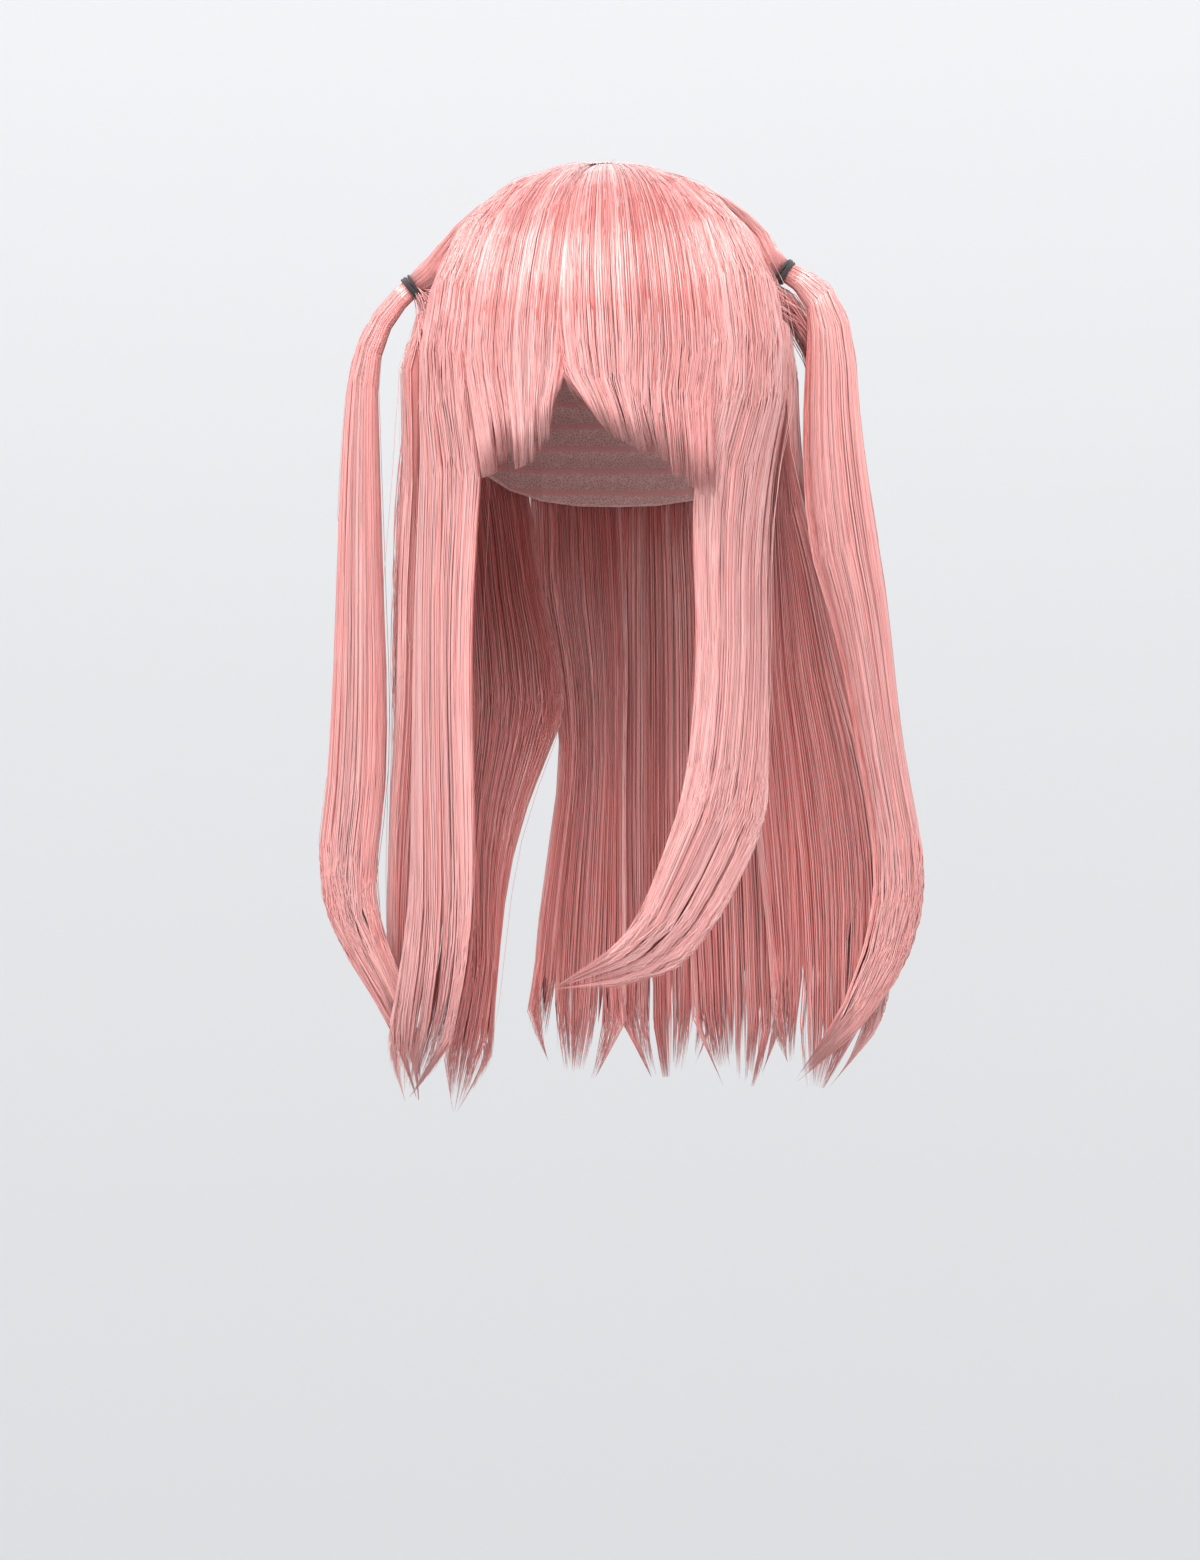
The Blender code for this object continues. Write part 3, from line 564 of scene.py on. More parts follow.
# The core: its rings and their corners, its ends, its share of the section, its blade, root and teeth
CORE_ROWS = 34
CORE_SIDES = 40
CORE_ENDS = {"fringe": 0.90, "gather": 0.99}
CORE_END = 0.95
CORE_WIDTH = 0.95
CORE_THICKNESS = 0.62
CORE_BLADE_FROM = 0.70
CORE_BLADE_THINNER = 0.97
CORE_BLADE_NARROWER = 0.12
CORE_ROOT_DEPTH = -0.95
CORE_ROOT_SPAN = 0.11
CORE_GATHER_SPAN = 0.24
CORE_EDGE_LOWER = 0.8
CORE_REACH = 1.05
SHALLOW_TEETH = (0, 0.04)
DEEP_TEETH = (0.04, 0.16)


def smoothstep(low, high, x):
    share = np.clip((x - low) / (high - low), 0, 1)
    return share * share * (3 - 2 * share)


def unit(vectors):
    return vectors / np.maximum(np.linalg.norm(vectors, axis=-1, keepdims=True), 1e-9)


def lock_sections(kind, side, sign):
    """The lock's sections from root to tip, and how many of them lie on the head."""
    if kind == "tail":
        tie = tie_centre(side, sign)
        sections = []
        for along in (CLEARANCE / 2, TIE_BAND / 2 + CLEARANCE):
            centre = tie + tie_axis(sign) * along
            sections.append(tail_section(centre, BUNDLE_RADIUS, BUNDLE_RADIUS, 90 - TIE_SLOPE, sign))
        for values in TAIL_ROWS[side]:
            row = dict(zip(TAIL_COLUMNS, values))
            level = tie[2] - row["drop"] * TAIL_LENGTH
            centre = np.array([row["out"] * tie[0], row["back"] * HALF_DEPTH, level])
            width, thickness = row["width"] * BUNDLE_RADIUS, row["thickness"] * BUNDLE_RADIUS
            sections.append(tail_section(centre, width, thickness, row["lean"], sign))
        return sections, 0
    head = head_sections(kind, side)
    if kind == "gather":
        mouth = -TIE_BAND / 2 - CLEARANCE
        ends = [
            tie_section(side, sign, mouth - TIE_BAND, BUNDLE_RADIUS * BUNDLE_FLARE),
            tie_section(side, sign, mouth, BUNDLE_RADIUS),
            tie_section(side, sign, -CLEARANCE / 2, BUNDLE_RADIUS),
        ]
        return head + ends, len(head)
    table = [dict(zip(HANG_COLUMNS, (*row, 0.0))) for row in HANG_ROWS[f"{kind}_{side}"]]
    hanging = [lambda u, row=row: hanging_section(row, LENGTHS[kind], u) for row in table]
    return head + hanging, len(head)


def read_surface(sections, on_head_count):
    """The lock's middle surface on a fine grid, with its outward and sideways directions and its half
    thickness, its length, and the share of that length that lies on the head."""
    read = [section(GRID_U) for section in sections]
    points, normals, halves = (np.stack([r[k] for r in read]) for k in range(3))
    gaps = np.linalg.norm(np.diff(points, axis=0), axis=-1).mean(-1)
    knots = np.concatenate([[0.0], np.cumsum(gaps)])
    at = np.linspace(0, knots[-1], GRID_ROWS)
    points = smooth_between(knots, points, at)
    halves = np.maximum(smooth_between(knots, halves[..., None], at), THINNEST / 2)
    wide = np.linalg.norm(points[:, -1] - points[:, 0], axis=-1)
    return {
        "points": points,
        "normals": unit(smooth_between(knots, normals, at)),
        "across": unit(np.gradient(points, axis=1)),
        "halves": halves,
        "wide": np.broadcast_to((wide / wide.max())[:, None, None], halves.shape),
        "length": knots[-1],
        "head": knots[max(on_head_count - 1, 0)] / knots[-1],
    }


def read_at(surface, t, u):
    """The surface read at t, from 0 at the root to 1 at the tip, and u, from -1 to 1 across."""
    row = t * (GRID_ROWS - 1)
    column = (u - GRID_U[0]) / (GRID_U[1] - GRID_U[0])
    r = np.clip(np.floor(row).astype(int), 0, GRID_ROWS - 2)
    c = np.clip(np.floor(column).astype(int), 0, len(GRID_U) - 2)
    down, aside = (row - r)[..., None], (column - c)[..., None]
    found = []
    for name in ("points", "normals", "across", "halves", "wide"):
        grid = surface[name]
        upper = grid[r, c] * (1 - aside) + grid[r, c + 1] * aside
        lower = grid[r + 1, c] * (1 - aside) + grid[r + 1, c + 1] * aside
        found.append(upper * (1 - down) + lower * down)
    return found


def group_mean(groups, count, values):
    """The values' mean over each group, given back to every member."""
    size = np.maximum(np.bincount(groups, minlength=count), 1)
    return (np.bincount(groups, weights=values, minlength=count) / size)[groups]


def add_object(name, data):
    made = bpy.data.objects.new(name, data)
    bpy.context.scene.collection.objects.link(made)
    return made


def add_mesh(name, verts, quads, triangles, strand, material):
    """A smooth mesh from arrays, with the strand's numbers on each vertex."""
    mesh = bpy.data.meshes.new(name)
    mesh.vertices.add(len(verts))
    mesh.vertices.foreach_set("co", verts.astype(np.float32).ravel())
    corners = np.concatenate([quads.ravel(), triangles.ravel()]).astype(np.int32)
    starts = np.concatenate([np.arange(len(quads)) * 4, len(quads) * 4 + np.arange(len(triangles)) * 3])
    mesh.loops.add(len(corners))
    mesh.loops.foreach_set("vertex_index", corners)
    mesh.polygons.add(len(starts))
    mesh.polygons.foreach_set("loop_start", starts.astype(np.int32))
    mesh.update(calc_edges=True)
    mesh.shade_smooth()
    layer = mesh.color_attributes.new("strand", "FLOAT_COLOR", "POINT")
    colours = np.concatenate([strand, np.ones((len(strand), 1))], axis=1)
    layer.data.foreach_set("color", colours.astype(np.float32).ravel())
    mesh.materials.append(material)
    obj = add_object(name, mesh)
    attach(obj, "root")
    return obj


def ring_faces(rings, sides, closed=False):
    """The faces from each ring of vertices to the next, and from the last to the first if it is closed."""
    ring = np.arange(rings if closed else rings - 1)[:, None]
    k = np.arange(sides)[None, :]
    here, after, nxt = ring * sides, (ring + 1) % rings * sides, (k + 1) % sides
    return np.stack([here + k, after + k, after + nxt, here + nxt], axis=-1).reshape(-1, 4)


def tube_faces(count, rows, sides):
    """The faces of that many closed tubes whose vertices run tube by tube and ring by ring."""
    starts = (np.arange(count) * rows * sides)[:, None, None]
    quads = (starts + ring_faces(rows, sides)).reshape(-1, 4)
    fan = np.stack([np.zeros(sides - 2, int), np.arange(1, sides - 1), np.arange(2, sides)], axis=-1)
    roots = (starts + fan).reshape(-1, 3)
    tips = (starts + (rows - 1) * sides + fan[:, ::-1]).reshape(-1, 3)
    return quads, np.concatenate([roots, tips])


def edge_reach(name, kind, surface, t, u):
    """How far a strand at u is moved across at t, so that neighbouring locks meet or part."""
    edges = EDGES.get(name) or EDGES[kind]
    head = max(surface["head"], 1e-3)
    ear_place = FRINGE_EAR_PLACE if kind == "fringe" else EAR_PLACE
    places = [CROWN_PLACE * head, ear_place * head, head + HANG_PLACE]
    low, high = (np.interp(t, places, edge) for edge in edges)
    return np.where(u < 0, low, high)


def fringe_cut(name, surface, u):
    """Which share of a lock's length is cut off at u."""
    if name not in FRINGE_CUTS:
        return 0.0
    places, cuts = zip(*FRINGE_CUTS[name])
    return np.interp(u, places, cuts) / 1000 / surface["length"]


def lower_edge(name, u):
    """From 0 to 1 towards the lower edge of the gathered hair."""
    return np.clip(u * (-1 if name.endswith("right") else 1), 0, 1)


def sunk(w, root, share):
    """The depth w, brought down to the root's depth where share is 0."""
    return root + (w - root) * share


def wave(number, t, phase):
    waves, size = WAVES[number]
    return size * np.sin(2 * math.pi * waves * t + phase[number])


def column(values):
    return values[:, None]


def share_out(style, rng):
    """Where each strand lies across the lock and in its depth, on which side, and in which wisp and clump."""
    count = style["strands"]
    even = 2 * (rng.permutation(count) + 0.5) / count - 1
    u = (1 - EDGE_CROWDING) * even + EDGE_CROWDING * np.sin(even * math.pi / 2)
    face = np.where(rng.random(count) < OUTER_SHARE, 1.0, -1.0)
    hang_w = face * (1 - HANG_DEEPEST * rng.random(count) ** 2)
    head_w = 1 - HEAD_DEEPEST * rng.random(count) ** 1.5
    wisp = ((u + 1) / 2 * style["wisps"]).astype(int) * 2 + (face > 0)
    parted = np.sort(rng.uniform(-1, 1, style["clumps"] - 1))
    clump = np.searchsorted(parted, u + rng.normal(0, CLUMP_BLUR, count))
    return u, face, hang_w, head_w, wisp, clump


def strand_ends(name, style, surface, u, clump, rng):
    """Where each strand ends, as a share of the lock's length."""
    uneven = style["uneven"]
    clump_length = rng.normal(0, CLUMP_UNEVEN * uneven, style["clumps"])[clump]
    end = USUAL_END + clump_length - np.abs(rng.normal(0, uneven, len(u)))
    layered = rng.random(len(u)) < SHORTER_SHARE
    end = np.where(layered, end - rng.uniform(0, LAYER_UNEVEN * uneven, len(u)), end)
    return np.clip(end, SHORTEST, LONGEST) - fringe_cut(name, surface, u)


def lay_strands(name, kind, surface, material, rng):
    """The lock's strands, as closed three-sided tubes that taper at the ends."""
    style = dict(zip(STYLE_COLUMNS, STYLES[kind]))
    count, clumps, wisps = style["strands"], style["clumps"], 2 * style["wisps"] + 2
    bound = kind == "gather"
    on_cap = surface["head"] > 0
    base_u, face, hang_w, head_w, wisp, clump = share_out(style, rng)
    end = strand_ends(name, style, surface, base_u, clump, rng)
    if bound:
        end[:] = 1.0
    share = np.linspace(0, 1, style["rows"])[None, :]
    if kind == "tail":
        share = share**TAIL_ROWS_NEAR_TIE
    t = column(end) * share

    # Across the lock: from its own place towards its wisp and its clump, in slow waves
    loose = np.ones_like(t)
    if on_cap:
        loose = smoothstep(surface["head"] - LOOSE_BEFORE, surface["head"] + LOOSE_AFTER, t)
    steady = np.minimum(1, 4 * t) * (1 - smoothstep(*HELD_SPAN, t) * bound)
    drawn = rng.uniform(*CLUMP_DRAWS, clumps)[clump] * rng.uniform(*STRAND_DRAWS, count)
    draw = style["pull"] * column(drawn) * smoothstep(*DRAW_SPAN, share) ** 1.5
    phase = rng.random((len(WAVES), count, 1)) * 2 * math.pi
    u = column(base_u) + (column(group_mean(wisp, wisps, base_u)) - column(base_u)) * WISP_DRAW
    u = u + (column(group_mean(clump, clumps, base_u)) - u) * draw
    flick = rng.normal(0, FLICK if style["uneven"] and kind != "fringe" else 0.0, clumps)[clump]
    u = u + column(flick) * smoothstep(*FLICK_SPAN, t) ** 2
    u = u + wave(0, t, phase) * steady
    u = u + wave(1, t, phase) * steady
    u = u * edge_reach(name, kind, surface, t, u)
    u = u * (1 + END_SPREAD.get(kind, 0.0) * smoothstep(*SPREAD_SPAN, t))

    # In depth: near the outer surface on the head, and round the core where the lock hangs
    rim = np.sqrt(np.clip(1 - u**2, 0, 1)) ** 0.8
    on_head_w = column(head_w) * (1 - EDGE_THINNER * np.abs(u) ** 6)
    w = on_head_w * (1 - loose) + column(hang_w) * rim * loose
    w = w * (1 - DRAWN_THINNER * draw)
    w = w + wave(2, t, phase) * steady
    stray = column((rng.random(count) < STRAY_SHARE) & (not bound))
    swing = rng.normal(0, 1, (2, count, 1))
    u = u + stray * STRAY_ASIDE * swing[0] * t**2
    out = STRAY_OUT[0] + STRAY_OUT[1] * np.abs(swing[1])
    w = w + stray * out * np.sin(math.pi * np.clip(t, 0, 1)) * np.sign(w)
    if bound:
        low = GATHER_EDGE_LOWER * lower_edge(name, u) ** 6 * (1 - loose)
        w = sunk(w, GATHER_DEPTH, 1 - np.clip((1 - smoothstep(*GATHER_SPAN, t)) + low, 0, 1))
    elif on_cap:
        w = sunk(w, ROOT_DEPTH, smoothstep(*ROOT_SPAN, t))
    u = np.clip(u, GRID_U[0], GRID_U[-1])

    points, normals, across, halves, wide = read_at(surface, t, u)
    centre = points + normals * halves * w[..., None]
    outward = np.ones((count, 1)) if bound else column(face)
    ray = normals * outward[..., None] + across * u[..., None] * 0.8 * loose[..., None]

    width = style["width"] * HALF_WIDTH_PER_MM * rng.uniform(*WIDTH_RANGE, (count, 1))
    width = width * np.clip(wide[..., 0], NARROWEST, 1) ** 0.5
    if not bound:
        width = width * (1 - TIP_NARROWER * smoothstep(*TAPER_SPAN, share))
    width = width * np.where(stray, STRAY_WIDTH, 1.0)
    # The lock's tone holds painted light and shade, set for each kind of lock
    tone = style["tone"] + rng.normal(0, CLUMP_TONES, clumps)[clump]
    tone = tone + rng.normal(0, WISP_TONES, wisps)[wisp]
    # Painted shade: the strands on the inner side of a loose lock get a darker, deeper tone
    painted_shade = INNER_PAINTED_SHADE * (face < 0) * (not bound)
    tone = np.clip(tone + rng.normal(0, STRAND_TONES, count) - painted_shade, 0, 1)
    return add_tubes(f"{name}_strands", centre, ray, width, tone, t, material, rng)


def add_tubes(name, centre, ray, width, tone, t, material, rng):
    """Strands as three-sided tubes, each with a flat side towards the hair below it."""
    count, rows = centre.shape[:2]
    tangent = unit(np.gradient(centre, axis=1))
    aside = unit(np.cross(tangent, unit(ray)))
    lift = np.cross(aside, tangent)
    roll = rng.uniform(-ROLL, ROLL, (count, 1, 1))
    angle = math.pi / 2 + roll + np.arange(TUBE_SIDES)[None, None, :] * 2 * math.pi / TUBE_SIDES
    angle = np.broadcast_to(angle, (count, rows, TUBE_SIDES))
    size = np.broadcast_to(width, (count, rows))[..., None]
    verts = (
        centre[:, :, None]
        + aside[:, :, None] * (size * np.cos(angle))[..., None]
        + lift[:, :, None] * (size * STRAND_FLATNESS * np.sin(angle))[..., None]
    ).reshape(-1, 3)
    quads, triangles = tube_faces(count, rows, TUBE_SIDES)
    strand = np.stack(np.broadcast_arrays(tone[:, None], t, rng.random((count, 1))), axis=-1)
    strand = np.repeat(strand.reshape(-1, 3), TUBE_SIDES, axis=0)
    return add_mesh(name, verts, quads, triangles, strand, material)


BEND_ROWS = 10
BEND_TAPER_SPAN = (0.85, 1.0)
BEND_TIP_NARROWER = 0.6
DOWN = np.array([0.0, 0.0, -1.0])


def add_bends(name, ends, widths, tones, ray, material, rng, painted_shade=0.0):
    """Strands that each follow one smooth bend from a first point, by two guides, to a last one. Widths are
    the least and the most in mm, and tones the middle one and how they differ. Painted shade makes every
    tone darker by that much."""
    count = len(ends[0])
    width = HALF_WIDTH_PER_MM * rng.uniform(*widths, count)
    tone = np.clip(rng.normal(*tones, count) - painted_shade, 0, 1)
    share = np.linspace(0, 1, BEND_ROWS)[None, :, None]
    first, leave, near, last = (point[:, None] for point in ends)
    centre = (
        first * (1 - share) ** 3
        + leave * 3 * share * (1 - share) ** 2
        + near * 3 * share**2 * (1 - share)
        + last * share**3
    )
    t = np.broadcast_to(share[..., 0], centre.shape[:2])
    width = width[:, None] * (1 - BEND_TIP_NARROWER * smoothstep(*BEND_TAPER_SPAN, t))
    return add_tubes(name, centre, np.broadcast_to(ray, centre.shape), width, tone, t, material, rng)


# The loose hair below each tie: how many strands, the span of azimuth and latitude that they leave the
# head from in degrees, how far they sag in mm, and how far from the cap and the tie their guides are
DROOP_COLUMNS = ("strands", "azimuth", "latitude", "sag")
DROOPS = {"right": (170, (82, 110), (48, 80), (8, 36)), "left": (110, (88, 112), (50, 78), (3, 12))}
DROOP_LIFTS = (0.001, 0.007)
DROOP_LEAVE = 0.004
DROOP_NEAR_TIE = 0.012


def add_droops(side, sign, material, rng):
    """Short strands that have slipped, and sag from the head up into the tie."""
    values = dict(zip(DROOP_COLUMNS, DROOPS[side]))
    count = values["strands"]
    azimuth = sign * rng.uniform(*values["azimuth"], count)
    way = head_direction(azimuth, rng.uniform(*values["latitude"], count))
    first = on_head(way, SEAT + rng.uniform(*DROOP_LIFTS, count))
    sag = rng.uniform(*values["sag"], (count, 1)) * 1e-3
    out, axis, across = np.array([float(sign), 0.0, 0.0]), tie_axis(sign), np.array([0.0, 1.0, 0.0])
    turn = rng.uniform(0, 2 * math.pi, (count, 1))
    bundle = BUNDLE_RADIUS * np.sqrt(rng.random((count, 1))) * 0.95
    last = tie_centre(side, sign) + bundle * (np.cos(turn) * across + np.sin(turn) * np.cross(axis, across))
    near = last - axis * DROOP_NEAR_TIE + DOWN * sag * 0.6
    leave = first + out * (DROOP_LEAVE + 0.4 * sag) + DOWN * sag
    ends = (first, leave, near, last)
    name = f"loose_strands_{side}"
    return add_bends(name, ends, (0.5, 0.95), (0.42, 0.14), out + 0.4 * DOWN, material, rng)


# The hair that hangs from just behind each tie onto the lock by the ear: how many strands, and how far they
# stand out from the head in mm. They join the lock at shares of its half width, length and half thickness.
CURTAINS = {"right": (80, (6, 18)), "left": (230, (34, 54))}
CURTAIN_AZIMUTHS = (91, 113)
CURTAIN_LATITUDES = (55, 68)
CURTAIN_LIFTS = (0.004, 0.010)
CURTAIN_JOINS = ((0.1, 1.0), (0.38, 0.60), (0.4, 0.95))
CURTAIN_FALLS = (0.012, 0.055)


def add_curtain(side, sign, ear_surface, material, rng):
    """Hair that leaves the head behind the tie, swells out and joins the lock by the ear."""
    count, swell = CURTAINS[side]
    way = head_direction(sign * rng.uniform(*CURTAIN_AZIMUTHS, count), rng.uniform(*CURTAIN_LATITUDES, count))
    first = on_head(way, SEAT + rng.uniform(*CURTAIN_LIFTS, count))
    across, along, deep = CURTAIN_JOINS
    u = -sign * column(rng.uniform(*across, count))
    t = column(rng.uniform(*along, count))
    points, normals, _, halves, _ = read_at(ear_surface, t, u)
    last = (points + normals * halves * rng.uniform(*deep, count)[:, None, None])[:, 0]
    out = np.array([float(sign), 0.0, 0.0])
    swell = rng.uniform(*swell, (count, 1)) * 1e-3
    leave = first + out * swell + DOWN * CURTAIN_FALLS[0]
    near = last - DOWN * CURTAIN_FALLS[1] + out * swell * 0.35
    ends = (first, leave, near, last)
    name = f"behind_tie_{side}"
    # The tone is set low as painted shade, for hair that lies in the shadow behind the tail
    return add_bends(name, ends, (0.6, 1.0), (0.30, 0.12), out + 0.1 * DOWN, material, rng)


# The short hair round the crown, which hides where the locks begin. It starts and ends that many degrees
# from the crown, and further towards the ties. Its lifts off the cap are shares of HAIR_THICKNESS.
WHORL_STRANDS = 560
WHORL_STARTS = (0.1, 1.2)
WHORL_ENDS = (9, 19)
WHORL_TO_TIE = 22
WHORL_TIE_AZIMUTH = 96
WHORL_TIE_SPAN = 12
WHORL_PLACES = (0.0, 0.35, 0.7, 1.0)
WHORL_LIFTS = (0.40, 0.66, 0.66, 0.58)
WHORL_UNEVEN = 0.0005
# Painted shade: the strands that lie in the groove towards the ties get a tone up to this much darker
WHORL_PAINTED_SHADE_TO_TIE = 0.22


def add_whorl(material, rng):
    """Strands that spread from the crown in all directions, longest towards the ties."""
    azimuth = rng.uniform(-180, 180, WHORL_STRANDS)
    to_tie = np.exp(-(((np.abs(azimuth) - WHORL_TIE_AZIMUTH) / WHORL_TIE_SPAN) ** 2))
    reach = rng.uniform(*WHORL_ENDS, WHORL_STRANDS) + WHORL_TO_TIE * to_tie * rng.random(WHORL_STRANDS)
    start = rng.uniform(*WHORL_STARTS, WHORL_STRANDS)
    ends = []
    for share, lift in zip(WHORL_PLACES, WHORL_LIFTS):
        place = head_direction(azimuth + rng.normal(0, 2, WHORL_STRANDS), start + (reach - start) * share)
        extra = rng.uniform(0.0, WHORL_UNEVEN, WHORL_STRANDS)
        ends.append(on_head(place, SEAT + lift * HAIR_THICKNESS + extra))
    # Painted shade, darkest on the strands that run into the groove towards the ties
    painted_shade = WHORL_PAINTED_SHADE_TO_TIE * to_tie
    return add_bends("crown_strands", ends, (0.5, 0.9), (0.50, 0.10), -DOWN, material, rng, painted_shade)


def add_core(name, kind, surface, material, rng):
    """The dense middle of the lock, which the strands lie round. It ends in an uneven, blade-like edge."""
    bound = kind == "gather"
    last = CORE_ENDS.get(kind, CORE_END)
    t = column(np.linspace(0.0, last, CORE_ROWS))
    side = np.arange(CORE_SIDES)
    angle = (side / CORE_SIDES * 2 * math.pi)[None, :]
    cosine, sine = np.cos(angle), np.sin(angle)
    thin = smoothstep(CORE_BLADE_FROM, 1.0, t / last) * (not bound)
    u = CORE_WIDTH * np.sign(cosine) * np.abs(cosine) ** 0.8 * (1 - CORE_BLADE_NARROWER * thin)
    w = np.sign(sine) * np.abs(sine) ** 0.7 * (1 - CORE_BLADE_THINNER * thin) * CORE_THICKNESS
    if surface["head"]:
        rise = smoothstep(0.0, CORE_GATHER_SPAN if bound else CORE_ROOT_SPAN, t)
        w = sunk(w, CORE_ROOT_DEPTH, rise)
    if bound:
        low = CORE_EDGE_LOWER * lower_edge(name, u) ** 4 * (1 - smoothstep(0.7, 1.0, t))
        w = sunk(w, CORE_ROOT_DEPTH, 1 - low)

    # The end is jagged, with the same teeth on both sides of the blade
    teeth = rng.uniform(*SHALLOW_TEETH, CORE_SIDES) + (side % 2) * rng.uniform(*DEEP_TEETH, CORE_SIDES)
    jag = teeth[np.minimum(side, CORE_SIDES - side)][None, :] * (not bound)
    t = t * (1 - jag * smoothstep(0.5, 1.0, t / last))
    t = t - fringe_cut(name, surface, u) * t
    u = u * np.minimum(edge_reach(name, kind, surface, t, u), CORE_REACH)
    points, normals, _, halves, _ = read_at(surface, t, u)
    verts = (points + normals * halves * w[..., None]).reshape(-1, 3)

    # Both caps are strips from the front side to the back
    half = CORE_SIDES // 2
    k = np.arange(1, half - 1)
    strip = np.stack([k, k + 1, CORE_SIDES - k - 1, CORE_SIDES - k], axis=-1)
    ends = np.array([[0, 1, CORE_SIDES - 1], [half - 1, half, half + 1]])
    tip = (CORE_ROWS - 1) * CORE_SIDES
    quads = np.concatenate([ring_faces(CORE_ROWS, CORE_SIDES)[:, ::-1], strip[:, ::-1], strip + tip])
    triangles = np.concatenate([ends[:, ::-1], ends + tip])
    strand = np.stack([np.broadcast_to(angle / (2 * math.pi), t.shape), t, np.zeros(t.shape)], axis=-1)
    return add_mesh(f"{name}_core", verts, quads, triangles, strand.reshape(-1, 3), material)


def fill(tree, made, inputs):
    """Gives a shader node its input values, and links those that come from another node."""
    for key, value in inputs.items():
        if isinstance(value, bpy.types.NodeSocket):
            tree.links.new(value, made.inputs[key])
        else:
            made.inputs[key].default_value = value


def node(tree, kind, inputs, **settings):
    """A shader node with its settings and its inputs."""
    made = tree.nodes.new(f"ShaderNode{kind}")
    for key, value in settings.items():
        setattr(made, key, value)
    fill(tree, made, inputs)
    return made


def reckon(tree, operation, *values):
    """What the operation makes of the values."""
    return node(tree, "Math", dict(enumerate(values)), operation=operation).outputs["Value"]


def new_material(name):
    material = bpy.data.materials.new(name)
    material.use_nodes = True
    return material, material.node_tree, material.node_tree.nodes["Principled BSDF"]


def ramp(tree, source, *stops):
    """A colour read from stops, each a place from 0 to 1 and a colour."""
    made = node(tree, "ValToRGB", {"Fac": source})
    elements = made.color_ramp.elements
    while len(elements) < len(stops):
        elements.new(0.5)
    for element, (place, colour) in zip(elements, stops):
        element.position = place
        element.color = (*colour, 1)
    return made.outputs["Color"]


def strand_numbers(tree):
    """The numbers on each vertex: a strand's tone or the way round a core or tie, the way down a lock or
    round a tie's wrap, and a strand's own number."""
    numbers = node(tree, "Attribute", {}, attribute_name="strand")
    parts = node(tree, "SeparateColor", {"Color": numbers.outputs["Color"]})
    return [parts.outputs[name] for name in ("Red", "Green", "Blue")]


def streaks(tree, across, along, detail):
    """Noise drawn out along the hair. Across and along are a number and how many cells it spans."""
    x, y = (reckon(tree, "MULTIPLY", *pair) for pair in (across, along))
    place = node(tree, "CombineXYZ", {"X": x, "Y": y})
    noise = node(tree, "TexNoise", {"Vector": place.outputs["Vector"], "Scale": 1.0, "Detail": detail})
    return noise.outputs["Fac"]


def bumps(tree, height, strength, distance):
    bump = node(tree, "Bump", {"Height": height, "Strength": strength, "Distance": distance})
    return bump.outputs["Normal"]


# The fibre tones, from deep to pale. Their deep, saturated end mostly holds painted shade: the inner strands,
# the hair behind the ties and the darker locks fall into it.
FIBRE_TONES = (
    (0.0, (0.66, 0.105, 0.090)),
    (0.25, (0.78, 0.240, 0.225)),
    (0.5, (0.85, 0.375, 0.355)),
    (0.75, (0.88, 0.440, 0.420)),
    (1.0, (0.92, 0.570, 0.530)),
)
# The core's colours are deeper and more saturated than the strands', as painted shade for the inside of a
# lock
CORE_PAINTED_SHADE_TONES = ((0.25, (0.66, 0.15, 0.14)), (0.5, (0.82, 0.29, 0.27)), (0.75, (0.90, 0.40, 0.37)))
TRACK_COLOUR = (0.74, 0.36, 0.35, 1)
TRACK_EDGES = ((0.80, (0, 0, 0)), (0.93, (1, 1, 1)))
NET_TONES = ((0.02, (0.80, 0.56, 0.52)), (0.16, (0.60, 0.34, 0.32)))
THREAD_TONES = ((0.0, (0.022, 0.023, 0.026)), (1.0, (0.060, 0.062, 0.068)))
THREAD_TURNS = 420


def fibre_material():
    """Glossy synthetic fibre: each strand has a tone of its own, a little uneven down its length. The tone
    also holds the painted light and shade that is set on the locks and strands.
    """
    material, tree, shader = new_material("pink_fibre_strands")
    own_tone, down, own_number = strand_numbers(tree)
    noise = streaks(tree, (own_number, 90), (down, 5), 2.0)
    span = {"From Min": 0.3, "From Max": 0.7, "To Min": -0.10, "To Max": 0.10}
    drift = node(tree, "MapRange", {"Value": noise, **span})
    tone = reckon(tree, "ADD", own_tone, drift.outputs["Result"])
    looks = {
        "Base Color": ramp(tree, tone, *FIBRE_TONES),
        "Roughness": 0.26,
        "Specular IOR Level": 1.0,
        "IOR": 1.8,
        "Specular Tint": (1.0, 0.93, 0.88, 1),
        "Coat Weight": 0.7,
        "Coat Roughness": 0.24,
        "Sheen Weight": 0.30,
        "Sheen Roughness": 0.4,
        "Sheen Tint": (1.0, 0.90, 0.89, 1),
    }
    fill(tree, shader, looks)
    return material


def core_material():
    """The hair deeper in the lock, with streaks as fine as single fibres and grooves between them. Its
    colours are darker and more saturated than the strands', as painted shade.
    """
    material, tree, shader = new_material("pink_fibre_core_painted_shade")
    way_round, down, _ = strand_numbers(tree)
    noise = streaks(tree, (way_round, 320), (down, 4), 3.0)
    grooves = bumps(tree, noise, 0.6, 0.0006)
    colour = ramp(tree, noise, *CORE_PAINTED_SHADE_TONES)
    fill(tree, shader, {"Base Color": colour, "Normal": grooves, "Roughness": 0.45})
    return material


